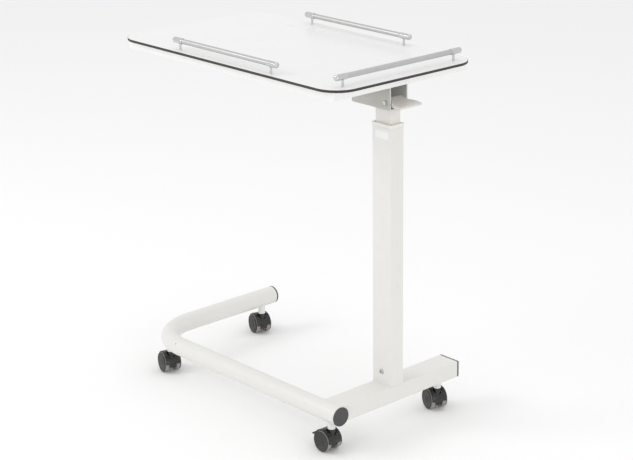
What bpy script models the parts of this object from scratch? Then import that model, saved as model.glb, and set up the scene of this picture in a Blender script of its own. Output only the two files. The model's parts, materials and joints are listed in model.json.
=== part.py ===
"""Height-adjustable overbed table: a laminate top in a steel tray, on a gas-sprung telescopic column and a C-shaped
base with four twin-wheel casters. Metres, +Z up, +X from the free end of the top towards the column, the user at
-Y. The origin is on the floor under the middle of the table's bounding box."""

import math

import bmesh
import bpy
from mathutils import Matrix, Vector

# ---- driving dimensions -------------------------------------------------------------------------------------------
GAP = 0.0003  # between faces that touch
SLIDE_CLEARANCE = 0.0004  # between faces that run on each other

TOP_HEIGHT = 0.848  # working surface above the floor, with the column almost down
TOP_LENGTH = 0.755
TOP_DEPTH = 0.435
TOP_CORNER = 0.058
BOARD_THICKNESS = 0.006
COLUMN_X = 0.316  # column axis from the origin
TOP_OVERHANG = 0.0675  # right edge of the board beyond the column axis

TRAY_INSET_END = 0.0225
TRAY_INSET_SIDE = 0.0145
TRAY_DEPTH = 0.0187
TRAY_SHEET = 0.0015

RAIL_DIAMETER = 0.012
RAIL_HEIGHT = 0.0215  # rail axis above the board
RAIL_POST_DIAMETER = 0.0056
RAIL_POST_FILLET = 0.0004  # gap from the top of a post to the tube that it holds
RAIL_END_LENGTH = 0.033
RAIL_END_WALL = 0.004  # solid end of a casting's sleeve
RAIL_SLEEVE_RIM = 0.0009  # how far a sleeve stands out from its tube
RAIL_OVERHANG = 0.0225  # rail end beyond its post
LONG_RAIL_LENGTH = 0.360
SHORT_RAIL_LENGTH = TOP_DEPTH - 0.054
LONG_RAIL_INSET = 0.0175  # rail axis from the long edge of the board
SHORT_RAIL_INSET = 0.0315  # rail axis from the short edge of the board
FRONT_RAIL_SHIFT = -0.004  # front rail from the middle of the board

COLUMN_WIDTH = 0.060
COLUMN_DEPTH = 0.040
COLUMN_WALL = 0.002
COLUMN_CORNER = 0.003
BUSH_WALL = 0.003  # room between the inside of the column and the mast
MAST_WIDTH = COLUMN_WIDTH - 2 * (COLUMN_WALL + BUSH_WALL)
MAST_DEPTH = COLUMN_DEPTH - 2 * (COLUMN_WALL + BUSH_WALL)
MAST_WALL = 0.002
MAST_EXPOSED = 0.035  # between the collar and the head bracket
MAST_FOOT_ROOM = 0.0906  # lower end of the mast above the foot of the column
COLLAR_LIP = 0.008
COLLAR_RIM = 0.0015  # how far the lip stands out from the column
COLLAR_DEPTH = 0.045
LOWER_BUSH_HEIGHT = 0.040

BRACKET_WIDTH = 0.054
BRACKET_PLATE = 0.003
BRACKET_LEFT = 0.087  # bracket end from the column axis, towards the free end
BRACKET_RIGHT = 0.034
BRACKET_HEIGHT = 0.072
BRACKET_FLANGE = 0.022

LEVER_PIVOT_X = 0.0194  # from the column axis
LEVER_PIVOT_Z = 0.0165  # above the underside of the bracket
LEVER_HUB_RADIUS = 0.0095
LEVER_HALF_WIDTH = BRACKET_WIDTH / 2 - BRACKET_PLATE - 0.0015
NOSE_HALF_WIDTH = 0.006
NOSE_BOTTOM = -0.004  # of the lever nose, from the pivot
PADDLE_HALF_WIDTH = 0.034
PADDLE_REACH = 0.0725  # outer edge from the column axis
PADDLE_THICKNESS = 0.006
PADDLE_BOTTOM = -0.0065  # from the pivot
PIVOT_BOLT_DIAMETER = 0.006

FOOT_BOLT_DIAMETER = 0.008
FOOT_BOLT_HEIGHT = 0.0315  # above the base
GAS_CYLINDER_CLEARANCE = 0.002  # to the inside of the mast
GAS_CYLINDER_DIAMETER = MAST_DEPTH - 2 * (MAST_WALL + GAS_CYLINDER_CLEARANCE)
GAS_CYLINDER_WALL = 0.0013
GAS_CYLINDER_HEADROOM = 0.033  # below the column top with the mast down
GAS_ROD_DIAMETER = 0.008
GAS_STROKE = 0.335
RELEASE_HEAD_DIAMETER = 0.016
RELEASE_PIN_DIAMETER = 0.004
RELEASE_FLOOR = 0.003  # solid end of the release head below its pin
RELEASE_TRAVEL = 0.0045  # room below the pin

WHEEL_DIAMETER = 0.0495
CASTER_HEIGHT = WHEEL_DIAMETER + 0.022  # floor to the underside of the base tubes
ROUND_TUBE_DIAMETER = 0.0445
ROUND_TUBE_WALL = 0.002
CROSS_TUBE_WIDTH = COLUMN_WIDTH
CROSS_TUBE_HEIGHT = 0.040
FRONT_TUBE_Y = -0.181
CROSS_TUBE_END_Y = 0.2005
LEG_X = -0.658  # leg axis from the column axis
LEG_END_Y = 0.2145
BEND_RADIUS = 0.118
FRONT_TUBE_OVERRUN = 0.003  # round tube end beyond the cross tube's outer face
CAP_THICKNESS = 0.005
CAP_PLUG = 0.012

WHEEL_WIDTH = 0.0125
SOCKET_DIAMETER = 0.018
WHEEL_GAP = SOCKET_DIAMETER + 0.0014  # between the two wheels of a caster
WHEEL_TRAIL = 0.013
AXLE_DIAMETER = 0.005
FENDER_CLEARANCE = 0.0010
FENDER_THICKNESS = 0.0022
NOSE_BULGE = 0.002  # how far the middle of a hood's nose stands out
HOOD_WEB = WHEEL_GAP - 0.0018  # the solid middle of a hood, between its wheels
HOOD_WEB_NOSE = 0.0026  # material in front of the stem's bore
HOOD_MOUTH = 0  # degrees above the axle of a nose's lower edge
HOOD_HEEL = 172
HOOD_SETBACK = 0.0035  # of a hood's side from the outer face of its wheel
HOOD_FLOOR = 0.0135  # lowest part of a hood above the floor
NECK_RADIUS = 0.0078  # of the moulded neck round a caster's stem
NECK_TOP = WHEEL_DIAMETER + 0.005
SOCKET_FLOOR = NECK_TOP + 0.001  # lower end of a caster socket above the floor
SOCKET_OVERLAP = 0.008  # of a socket's saddle with the height of a round tube
STEM_DIAMETER = 0.010
WELL_RADIUS = 0.0106
WELL_FLOOR = WHEEL_DIAMETER - 0.0092
PEDAL_LENGTH = 0.025  # from its hinge
PEDAL_THICKNESS = 0.003
PEDAL_DROP = 0.004  # of its tip below its hinge, with the brake on
PEDAL_PAD = 0.012  # length of its wide end
PEDAL_PAD_HALF_WIDTH = 0.012
PEDAL_HEADROOM = 0.0075  # room above its hinge, to let it tip up
PEDAL_HINGE = Vector((0.00675, 0.008))  # forward of the wheels' back, and above the axle
PEDAL_CLEARANCE = 0.0006

FRONT_RIGHT_STEM_X = 0.004  # from the column axis
FRONT_LEFT_STEM_ANGLE = 36  # round the bend of the base tube
BACK_LEFT_STEM = Vector((0.008, 0.172))  # inside the leg's axis, and along it
BACK_RIGHT_STEM = Vector((0.0097, 0.153))  # from the column axis

ROUND_SIDES = 32
SMALL_SIDES = 16

# ---- levels and places that follow from them ----------------------------------------------------------------------
BASE_AXIS_Z = CASTER_HEIGHT + ROUND_TUBE_DIAMETER / 2
CROSS_TUBE_TOP = BASE_AXIS_Z + CROSS_TUBE_HEIGHT / 2
BOARD_BOTTOM = TOP_HEIGHT - BOARD_THICKNESS
TRAY_TOP = BOARD_BOTTOM - GAP
BRACKET_TOP = TRAY_TOP - TRAY_SHEET - GAP
BRACKET_BOTTOM = BRACKET_TOP - BRACKET_HEIGHT
COLLAR_TOP = BRACKET_BOTTOM - MAST_EXPOSED
COLUMN_TOP = COLLAR_TOP - COLLAR_LIP - GAP
COLUMN_BOTTOM = CROSS_TUBE_TOP + GAP
MAST_TOP = BRACKET_BOTTOM - GAP
MAST_BOTTOM = COLUMN_BOTTOM + MAST_FOOT_ROOM
BOARD_X = COLUMN_X + TOP_OVERHANG - TOP_LENGTH / 2
PIVOT = Vector((COLUMN_X + LEVER_PIVOT_X, 0.0, BRACKET_BOTTOM + LEVER_PIVOT_Z))
FOOT_BOLT_Z = COLUMN_BOTTOM + FOOT_BOLT_HEIGHT
WHEEL_RADIUS = WHEEL_DIAMETER / 2
BEND_CENTRE = Vector((COLUMN_X + LEG_X + BEND_RADIUS, FRONT_TUBE_Y + BEND_RADIUS))
FRONT_TUBE_END_X = COLUMN_X + CROSS_TUBE_WIDTH / 2 + FRONT_TUBE_OVERRUN


# ---- making of meshes ---------------------------------------------------------------------------------------------
def circle(radius, z, sides=ROUND_SIDES):
    """A ring of points round the local Z axis."""
    steps = [2 * math.pi * i / sides for i in range(sides)]
    return [Vector((radius * math.cos(a), radius * math.sin(a), z)) for a in steps]


def hexagon(across_flats, z):
    """A ring of 12 points on a hexagon, at its corners and the middles of its sides."""
    flat = across_flats / 2
    corner = flat / math.cos(math.pi / 6)
    steps = [(corner if i % 2 else flat, math.pi * i / 6) for i in range(12)]
    return [Vector((r * math.cos(a), r * math.sin(a), z)) for r, a in steps]


def rounded_rectangle(width, depth, corner, z, steps=4):
    """A ring of points round the local Z axis, width along X and depth along Y."""
    points = []
    for quarter, (sx, sy) in enumerate(((1, 1), (-1, 1), (-1, -1), (1, -1))):
        centre = Vector((sx * (width / 2 - corner), sy * (depth / 2 - corner), z))
        for i in range(steps + 1):
            a = (quarter + i / steps) * math.pi / 2
            points.append(centre + corner * Vector((math.cos(a), math.sin(a), 0)))
    return points


def loft(rings, closed=False):
    """A mesh through rings of equal point counts. Closed joins the last ring to the first; otherwise the ends are
    capped."""
    bm = bmesh.new()
    rows = [[bm.verts.new(p) for p in ring] for ring in rings]
    pairs = list(zip(rows, rows[1:] + rows[:1])) if closed else list(zip(rows, rows[1:]))
    for low, high in pairs:
        for i in range(len(low)):
            j = (i + 1) % len(low)
            bm.faces.new((low[i], low[j], high[j], high[i]))
    if not closed:
        bm.faces.new(reversed(rows[0]))
        bm.faces.new(rows[-1])
    return finished_mesh(bm)


def finished_mesh(bm, smooth_angle=40):
    """The bmesh as a mesh with its faces pointing out, smooth where it is round."""
    bmesh.ops.recalc_face_normals(bm, faces=bm.faces)
    mesh = bpy.data.meshes.new("mesh")
    bm.to_mesh(mesh)
    bm.free()
    mesh.shade_smooth()
    mesh.set_sharp_from_angle(angle=math.radians(smooth_angle))
    return mesh


def turned(profile, sides=ROUND_SIDES, closed=False):
    """A lathe shape: profile is (radius, z) pairs from one end to the other, or round a hollow section if closed."""
    return loft([circle(r, z, sides) for r, z in profile], closed)


def tube_section(outer, inner):
    """The four rings of a hollow length of tube, from an outer and an inner ring maker that take z."""
    return lambda low, high: [outer(low), outer(high), inner(high), inner(low)]


def rectangular_tube(width, depth, corner, wall, low, high):
    """A hollow rectangular tube along local Z."""
    rings = tube_section(
        lambda z: rounded_rectangle(width, depth, corner, z),
        lambda z: rounded_rectangle(width - 2 * wall, depth - 2 * wall, corner / 2, z),
    )
    return loft(rings(low, high), closed=True)


def extruded(outline, half_width):
    """An (x, z) outline pushed both ways along Y."""
    return loft([[Vector((x, y, z)) for x, z in outline] for y in (-half_width, half_width)])


def block(low, high):
    """A box between two corners."""
    corners = [(low[0], low[1]), (high[0], low[1]), (high[0], high[1]), (low[0], high[1])]
    return loft([[Vector((x, y, z)) for x, y in corners] for z in (low[2], high[2])])


def moved(mesh, matrix):
    """The mesh, transformed in place."""
    mesh.transform(matrix)
    return mesh


ALONG_X = Matrix.Rotation(math.pi / 2, 4, "Y")
ALONG_Y = Matrix.Rotation(-math.pi / 2, 4, "X")


# ---- making of objects --------------------------------------------------------------------------------------------
def finish(name, colour, roughness, metallic=0.0):
    """A plain material."""
    material = bpy.data.materials.new(name)
    material.use_nodes = True
    shader = material.node_tree.nodes["Principled BSDF"]
    shader.inputs["Base Color"].default_value = (*colour, 1.0)
    shader.inputs["Roughness"].default_value = roughness
    shader.inputs["Metallic"].default_value = metallic
    return material


def place(name, mesh, material, location=(0, 0, 0), parent=None, turn=0.0):
    """A named piece at a place, turned about Z."""
    piece = bpy.data.objects.new(name, mesh)
    bpy.context.scene.collection.objects.link(piece)
    if not mesh.materials:
        mesh.materials.append(material)
    piece.location = location
    piece.rotation_euler.z = turn
    piece.parent = parent
    return piece


def joint_empty(name, location, parent=None, turn=0.0):
    """An empty on a joint's axis, which the pieces of its body hang from."""
    empty = bpy.data.objects.new(name, None)
    bpy.context.scene.collection.objects.link(empty)
    empty.location = location
    empty.rotation_euler.z = turn
    empty.parent = parent
    return empty


def combine(piece, name, mesh, operation):
    """Joins a shape, given in the piece's own axes, to the piece, or takes it out."""
    cutter = bpy.data.objects.new(name, mesh)
    bpy.context.scene.collection.objects.link(cutter)
    cutter.parent = piece
    cutter.hide_render = True
    cutter.display_type = "WIRE"
    modifier = piece.modifiers.new(name, "BOOLEAN")
    modifier.operation = operation
    modifier.solver = "EXACT"
    modifier.object = cutter


def cut(piece, name, mesh):
    combine(piece, name, mesh, "DIFFERENCE")


for old in list(bpy.data.objects):
    bpy.data.objects.remove(old)

powder_coat = finish("powder_coat", (0.78, 0.77, 0.74), 0.38)
laminate = finish("laminate", (0.87, 0.87, 0.87), 0.25)
lever_plastic = finish("lever_plastic", (0.58, 0.55, 0.52), 0.45)
collar_plastic = finish("collar_plastic", (0.74, 0.71, 0.67), 0.45)
dark_plastic = finish("dark_plastic", (0.06, 0.06, 0.06), 0.45)
caster_nylon = finish("caster_nylon", (0.025, 0.026, 0.028), 0.28)
wheel_plastic = finish("wheel_plastic", (0.035, 0.035, 0.035), 0.5)
chrome = finish("chrome", (0.8, 0.8, 0.8), 0.12, 1.0)
rail_aluminium = finish("rail_aluminium", (0.68, 0.68, 0.67), 0.35, 1.0)
zinc = finish("zinc", (0.6, 0.62, 0.62), 0.3, 1.0)
spring_black = finish("spring_black", (0.03, 0.03, 0.03), 0.35)

# ---- bodies -------------------------------------------------------------------------------------------------------
base = joint_empty("base_axis", (0, 0, 0))
mast = joint_empty("mast_axis", (COLUMN_X, 0, 0), base)
lever = joint_empty("lever_axis", PIVOT - Vector((COLUMN_X, 0, 0)), mast)


# ---- top: board, tray and gallery rails ---------------------------------------------------------------------------
BOARD_MIDDLE = Vector((BOARD_X - COLUMN_X, 0))
LONG_RAIL_Y = TOP_DEPTH / 2 - LONG_RAIL_INSET
RAILS = {  # the middle of each rail from the column axis, its length, and its turn about Z
    "front_rail": (BOARD_MIDDLE + Vector((FRONT_RAIL_SHIFT, -LONG_RAIL_Y)), LONG_RAIL_LENGTH, 0.0),
    "back_rail": (BOARD_MIDDLE + Vector((0, LONG_RAIL_Y)), LONG_RAIL_LENGTH, 0.0),
    "end_rail": (Vector((TOP_OVERHANG - SHORT_RAIL_INSET, 0)), SHORT_RAIL_LENGTH, math.pi / 2),
}


def make_board():
    """A compact-laminate board with large rounded corners and a hole for the foot of each rail post."""
    outline = [rounded_rectangle(TOP_LENGTH, TOP_DEPTH, TOP_CORNER, z, 10) for z in (BOARD_BOTTOM, TOP_HEIGHT)]
    board = place("table_board", loft(outline), laminate, BOARD_MIDDLE.to_3d(), mast)
    radius = RAIL_POST_DIAMETER / 2 + GAP
    for name, (centre, length, turn) in RAILS.items():
        to_post = (length / 2 - RAIL_OVERHANG) * Vector((math.cos(turn), math.sin(turn)))
        for at, label in ((centre - to_post, "a"), (centre + to_post, "b")):
            hole = turned([(radius, BOARD_BOTTOM - GAP), (radius, TOP_HEIGHT + GAP)], SMALL_SIDES)
            hole.transform(Matrix.Translation((at - BOARD_MIDDLE).to_3d()))
            cut(board, f"{name}_hole_{label}", hole)


def make_tray():
    """A folded steel pan, open below, that carries the board."""
    length = TOP_LENGTH - 2 * TRAY_INSET_END
    depth = TOP_DEPTH - 2 * TRAY_INSET_SIDE
    corner = 0.002
    low = BOARD_BOTTOM - TRAY_DEPTH
    inner_top = TRAY_TOP - TRAY_SHEET
    rings = [
        rounded_rectangle(length, depth, corner, low, 2),
        rounded_rectangle(length, depth, corner, TRAY_TOP, 2),
    ]
    inner = [
        rounded_rectangle(length - 2 * TRAY_SHEET, depth - 2 * TRAY_SHEET, corner / 2, z, 2) for z in (inner_top, low)
    ]
    bm = bmesh.new()
    rows = [[bm.verts.new(p) for p in ring] for ring in rings + inner]
    for a, b in ((0, 1), (2, 3), (3, 0)):
        for i in range(len(rows[a])):
            j = (i + 1) % len(rows[a])
            bm.faces.new((rows[a][i], rows[a][j], rows[b][j], rows[b][i]))
    bm.faces.new(rows[1])
    bm.faces.new(rows[2])
    place("support_tray", finished_mesh(bm), powder_coat, (BOARD_X - COLUMN_X, 0, 0), mast)


def rail_end_mesh():
    """The sleeve of a casting, along local X, with a domed end at -X."""
    rim = RAIL_DIAMETER / 2 + RAIL_SLEEVE_RIM
    bore = RAIL_DIAMETER / 2 + GAP
    dome = [(0.3 * rim, 0.0), (0.7 * rim, 0.12 * rim), (rim, 0.5 * rim)]
    sleeve = dome + [(rim, RAIL_END_LENGTH), (bore, RAIL_END_LENGTH), (bore, RAIL_END_WALL)]
    mesh = moved(turned(sleeve, 20), ALONG_X)
    mesh.transform(Matrix.Translation((-RAIL_OVERHANG, 0, 0)))
    return mesh


def rail_post_mesh():
    """The post below a sleeve, from the underside of the board up into the sleeve's wall."""
    radius = RAIL_POST_DIAMETER / 2
    low = -RAIL_HEIGHT - BOARD_THICKNESS
    high = -RAIL_DIAMETER / 2 - RAIL_POST_FILLET
    return turned([(radius, low), (radius, high)], SMALL_SIDES)


def make_rail(name, centre, length, turn):
    """A straight tube held at both ends by a casting on the board."""
    axis = joint_empty(name + "_axis", (centre.x, centre.y, TOP_HEIGHT + RAIL_HEIGHT), mast, turn)
    half = length / 2 - RAIL_END_WALL - GAP
    radius = RAIL_DIAMETER / 2
    bore = radius - 0.001
    rings = [(radius, -half), (radius, half), (bore, half), (bore, -half)]
    place(name, moved(turned(rings, 20, closed=True), ALONG_X), rail_aluminium, parent=axis)
    for side, turned_by, label in ((-1, 0.0, "a"), (1, math.pi, "b")):
        end = place(
            f"{name}_end_{label}",
            rail_end_mesh(),
            chrome,
            (side * (length / 2 - RAIL_OVERHANG), 0, 0),
            axis,
            turned_by,
        )
        combine(end, f"{name}_post_{label}", rail_post_mesh(), "UNION")


# ---- head: bracket, release lever and pivot -----------------------------------------------------------------------
def make_bracket():
    """A folded hat channel under the tray: web on the mast, two side plates, and flanges up against the tray."""
    half = BRACKET_WIDTH / 2
    t = BRACKET_PLATE
    flange = half + BRACKET_FLANGE
    low, high = BRACKET_BOTTOM, BRACKET_TOP
    right_half = [(half, low), (half, high - t), (flange, high - t), (flange, high)]
    right_half += [(half - t, high), (half - t, low + t)]
    outline = right_half + [(-y, z) for y, z in reversed(right_half)]
    mesh = loft([[Vector((x, y, z)) for y, z in outline] for x in (-BRACKET_LEFT, BRACKET_RIGHT)])
    bracket = place("head_bracket", mesh, powder_coat, parent=mast)
    pivot_hole = turned([(PIVOT_BOLT_DIAMETER / 2 + GAP, z) for z in (-half - t, half + t)], SMALL_SIDES)
    pivot_hole = moved(moved(pivot_hole, ALONG_Y), Matrix.Translation((LEVER_PIVOT_X, 0, PIVOT.z)))
    cut(bracket, "pivot_hole", pivot_hole)
    rod_hole = turned([(RELEASE_HEAD_DIAMETER / 2 + GAP, z) for z in (low - t, low + 2 * t)])
    cut(bracket, "rod_hole", rod_hole)


def make_pivot_bolt():
    """A hex bolt across the side plates, with its nut on the far side."""
    radius = PIVOT_BOLT_DIAMETER / 2
    face = BRACKET_WIDTH / 2 + GAP
    end = face + 0.0075
    flats = PIVOT_BOLT_DIAMETER * 1.67
    head_height = PIVOT_BOLT_DIAMETER * 0.67
    nut_height = PIVOT_BOLT_DIAMETER * 0.83
    chamfer = 0.0006
    bolt = [hexagon(flats - 2 * chamfer, -face - head_height), hexagon(flats, -face - head_height + chamfer)]
    bolt += [hexagon(flats, -face), circle(radius, -face, 12), circle(radius, end, 12)]
    place("lever_pivot_bolt", moved(loft(bolt), ALONG_Y), zinc, PIVOT - mast.location, mast)
    nut = [hexagon(flats, face), hexagon(flats, face + nut_height)]
    nut += [circle(radius + GAP, face + nut_height, 12), circle(radius + GAP, face, 12)]
    place("lever_pivot_nut", moved(loft(nut, closed=True), ALONG_Y), zinc, PIVOT - mast.location, mast)


def make_lever():
    """A moulded release lever: a hub on the pivot, a short nose over the release pin and a wide paddle outside.
    Each section is (x, half width, bottom, top) from the pivot."""
    radius = LEVER_HUB_RADIUS
    nose, inner, outer = NOSE_HALF_WIDTH, LEVER_HALF_WIDTH, PADDLE_HALF_WIDTH
    reach = PADDLE_REACH - LEVER_PIVOT_X
    mouth = BRACKET_RIGHT - LEVER_PIVOT_X
    low, high = PADDLE_BOTTOM, PADDLE_BOTTOM + PADDLE_THICKNESS
    sections = [
        (-LEVER_PIVOT_X - 0.004, nose, NOSE_BOTTOM, 0.0035),
        (-radius, nose, NOSE_BOTTOM, 0.0060),
        (-radius + 0.0005, inner, NOSE_BOTTOM + 0.001, 0.0062),
        (-radius * 0.5, inner, -radius * 0.87, radius * 0.87),
        (0.0, inner, -radius, radius),
        (radius * 0.6, inner, -radius, radius * 0.8),
        (mouth, inner, low - 0.0030, 0.0045),
        (mouth + 0.009, inner + 0.0040, low - 0.0020, 0.0030),
        (mouth + 0.017, outer - 0.0020, low, high + 0.0021),
        (mouth + 0.023, outer, low, high + 0.0013),
        (reach - 0.004, outer, low, high),
        (reach, outer - 0.0015, low + 0.0012, high - 0.0012),
    ]
    rings = []
    for x, half, bottom, top in sections:
        rings.append([Vector((x, y, z)) for y, z in ((-half, bottom), (half, bottom), (half, top), (-half, top))])
    piece = place("release_lever", loft(rings), lever_plastic, parent=lever)
    bore = turned([(PIVOT_BOLT_DIAMETER / 2 + SLIDE_CLEARANCE, z) for z in (-outer, outer)], SMALL_SIDES)
    cut(piece, "lever_bore", moved(bore, ALONG_Y))


# ---- column: mast, bushes, outer tube and gas spring --------------------------------------------------------------
def make_mast():
    """The inner tube, with its lower guide bush."""
    mesh = rectangular_tube(MAST_WIDTH, MAST_DEPTH, COLUMN_CORNER, MAST_WALL, MAST_BOTTOM, MAST_TOP)
    place("mast_tube", mesh, powder_coat, parent=mast)
    bore_width = MAST_WIDTH - 2 * MAST_WALL - 2 * GAP
    bore_depth = MAST_DEPTH - 2 * MAST_WALL - 2 * GAP
    out_width = COLUMN_WIDTH - 2 * COLUMN_WALL - 2 * SLIDE_CLEARANCE
    out_depth = COLUMN_DEPTH - 2 * COLUMN_WALL - 2 * SLIDE_CLEARANCE
    seat = MAST_BOTTOM - GAP
    bore = GAS_CYLINDER_DIAMETER / 2 + SLIDE_CLEARANCE
    foot = 0.006
    outline = [
        rounded_rectangle(out_width, out_depth, 0.002, seat - foot),
        rounded_rectangle(out_width, out_depth, 0.002, seat),
        rounded_rectangle(bore_width, bore_depth, 0.001, seat),
        rounded_rectangle(bore_width, bore_depth, 0.001, seat + LOWER_BUSH_HEIGHT),
    ]
    bush = place("lower_bush", loft(outline), collar_plastic, parent=mast)
    hole = turned([(bore, z) for z in (seat - 2 * foot, seat + 2 * LOWER_BUSH_HEIGHT)])
    cut(bush, "bush_bore", hole)


def make_column():
    """The outer tube on the base, its collar bush and the bolt that holds the gas spring's lower end."""
    mesh = rectangular_tube(COLUMN_WIDTH, COLUMN_DEPTH, COLUMN_CORNER, COLUMN_WALL, COLUMN_BOTTOM, COLUMN_TOP)
    column = place("outer_column", mesh, powder_coat, (COLUMN_X, 0, 0), base)
    half = COLUMN_DEPTH / 2
    radius = FOOT_BOLT_DIAMETER / 2
    hole = turned([(radius + GAP, -half - COLUMN_WALL), (radius + GAP, half + COLUMN_WALL)], SMALL_SIDES)
    cut(column, "foot_bolt_hole", moved(moved(hole, ALONG_Y), Matrix.Translation((0, 0, FOOT_BOLT_Z))))
    inside = (COLUMN_WIDTH - 2 * COLUMN_WALL - 2 * GAP, COLUMN_DEPTH - 2 * COLUMN_WALL - 2 * GAP)
    bore = (MAST_WIDTH + 2 * SLIDE_CLEARANCE, MAST_DEPTH + 2 * SLIDE_CLEARANCE)
    rim = (COLUMN_WIDTH + 2 * COLLAR_RIM, COLUMN_DEPTH + 2 * COLLAR_RIM)
    seat = COLUMN_TOP + GAP
    rings = [
        rounded_rectangle(*inside, 0.001, seat - COLLAR_DEPTH),
        rounded_rectangle(*inside, 0.001, seat),
        rounded_rectangle(*rim, COLUMN_CORNER, seat),
        rounded_rectangle(*rim, COLUMN_CORNER, COLLAR_TOP - 0.001),
        rounded_rectangle(rim[0] - 0.002, rim[1] - 0.002, COLUMN_CORNER, COLLAR_TOP),
        rounded_rectangle(*bore, COLUMN_CORNER, COLLAR_TOP),
        rounded_rectangle(*bore, COLUMN_CORNER, seat - COLLAR_DEPTH),
    ]
    place("column_collar", loft(rings, closed=True), collar_plastic, (COLUMN_X, 0, 0), base)
    face = half + GAP
    head = [(radius * 1.35, -face - 0.003), (radius * 1.6, -face - 0.0022), (radius * 1.6, -face)]
    shank = [(radius, -face), (radius, half - COLUMN_WALL)]
    bolt = moved(turned(head + shank, SMALL_SIDES), ALONG_Y)
    place("foot_bolt", bolt, zinc, (COLUMN_X, 0, FOOT_BOLT_Z), base)


def make_gas_spring():
    """A locking gas spring inside the column: cylinder on the foot bolt, rod, piston and release head on the mast."""
    outer = GAS_CYLINDER_DIAMETER / 2
    bore = outer - GAS_CYLINDER_WALL
    low = FOOT_BOLT_Z - FOOT_BOLT_DIAMETER
    high = COLUMN_TOP - GAS_CYLINDER_HEADROOM
    floor = FOOT_BOLT_Z + 2 * FOOT_BOLT_DIAMETER
    cylinder = place(
        "gas_cylinder",
        turned([(outer, low), (outer, high), (bore, high), (bore, floor)], 24),
        spring_black,
        (COLUMN_X, 0, 0),
        base,
    )
    eye = FOOT_BOLT_DIAMETER / 2 + GAP
    hole = moved(turned([(eye, -2 * outer), (eye, 2 * outer)], SMALL_SIDES), ALONG_Y)
    hole.transform(Matrix.Translation((0, 0, FOOT_BOLT_Z)))
    cut(cylinder, "cylinder_eye", hole)

    rod = GAS_ROD_DIAMETER / 2
    guide_high = high - GAP
    guide = [(bore - GAP, guide_high - 0.014), (bore - GAP, guide_high)]
    guide += [(rod + SLIDE_CLEARANCE, guide_high), (rod + SLIDE_CLEARANCE, guide_high - 0.014)]
    place("rod_guide", turned(guide, 24, closed=True), collar_plastic, (COLUMN_X, 0, 0), base)

    head_low = BRACKET_BOTTOM - 0.018
    piston_top = guide_high - 0.016 - GAS_STROKE + (MAST_EXPOSED - 0.005)
    place("gas_rod", turned([(rod, piston_top + GAP), (rod, head_low - GAP)], 20), chrome, parent=mast)
    piston = [(bore - SLIDE_CLEARANCE, piston_top - 0.012), (bore - SLIDE_CLEARANCE, piston_top)]
    place("gas_piston", turned(piston, 24), collar_plastic, parent=mast)

    head = RELEASE_HEAD_DIAMETER / 2
    pin = RELEASE_PIN_DIAMETER / 2
    head_high = BRACKET_BOTTOM + BRACKET_PLATE + 0.002
    profile = [(head, head_low), (head, head_high), (pin + SLIDE_CLEARANCE, head_high)]
    profile += [(pin + SLIDE_CLEARANCE, head_low + RELEASE_FLOOR)]
    place("release_head", turned(profile, 24), zinc, parent=mast)
    pin_low = head_low + RELEASE_FLOOR + RELEASE_TRAVEL
    pin_high = PIVOT.z + NOSE_BOTTOM - GAP
    pin_profile = [(pin, pin_low), (pin, pin_high - pin / 4), (pin * 0.75, pin_high)]
    place("release_pin", turned(pin_profile, SMALL_SIDES), chrome, parent=mast)


# ---- base: tubes, caps and caster sockets -------------------------------------------------------------------------
def base_path():
    """Centreline of the round base tube: right end, along the front, round the bend and back along the leg."""
    points = [Vector((FRONT_TUBE_END_X, FRONT_TUBE_Y))]
    steps = 14
    for i in range(steps + 1):
        points.append(bend_point(90 * i / steps))
    points.append(Vector((COLUMN_X + LEG_X, LEG_END_Y)))
    return points


def bend_point(degrees):
    """A point on the bend's centreline, counted from its front end."""
    a = math.radians(degrees)
    return BEND_CENTRE + BEND_RADIUS * Vector((-math.sin(a), -math.cos(a)))


def make_round_tube():
    """One round tube, bent to an L on plan."""
    path = base_path()
    outer = ROUND_TUBE_DIAMETER / 2
    rows = {outer: [], outer - ROUND_TUBE_WALL: []}
    for i, point in enumerate(path):
        ahead = path[min(i + 1, len(path) - 1)] - path[max(i - 1, 0)]
        if i in (0, 1):
            ahead = path[1] - path[0]
        if i in (len(path) - 2, len(path) - 1):
            ahead = path[-1] - path[-2]
        side = Vector((-ahead.y, ahead.x, 0)).normalized()
        for radius, rings in rows.items():
            rings.append(
                [
                    Vector((point.x, point.y, BASE_AXIS_Z)) + p.x * side + Vector((0, 0, p.y))
                    for p in circle(radius, 0, ROUND_SIDES)
                ]
            )
    outside, inside = rows.values()
    place("base_round_tube", loft(outside + inside[::-1], closed=True), powder_coat, parent=base)


def make_cross_tube():
    """The rectangular tube under the column, coped to the round tube at its front end."""
    start = FRONT_TUBE_Y
    mesh = rectangular_tube(
        CROSS_TUBE_WIDTH, CROSS_TUBE_HEIGHT, COLUMN_CORNER, COLUMN_WALL, start, CROSS_TUBE_END_Y
    )
    mesh.transform(Matrix.Rotation(-math.pi / 2, 4, "X"))
    tube = place("base_cross_tube", mesh, powder_coat, (COLUMN_X, 0, BASE_AXIS_Z), base)
    reach = CROSS_TUBE_WIDTH
    cope = moved(turned([(ROUND_TUBE_DIAMETER / 2 + GAP, -reach), (ROUND_TUBE_DIAMETER / 2 + GAP, reach)]), ALONG_X)
    cope.transform(Matrix.Translation((0, FRONT_TUBE_Y, 0)))
    cut(tube, "cope", cope)
    notch_top = CASTER_HEIGHT + SOCKET_OVERLAP + GAP
    notch = turned([(SOCKET_DIAMETER / 2 + GAP, 0.0), (SOCKET_DIAMETER / 2 + GAP, notch_top)], 24)
    cut(tube, "socket_notch", moved(notch, Matrix.Translation((FRONT_RIGHT_STEM_X, FRONT_TUBE_Y, -BASE_AXIS_Z))))


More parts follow.
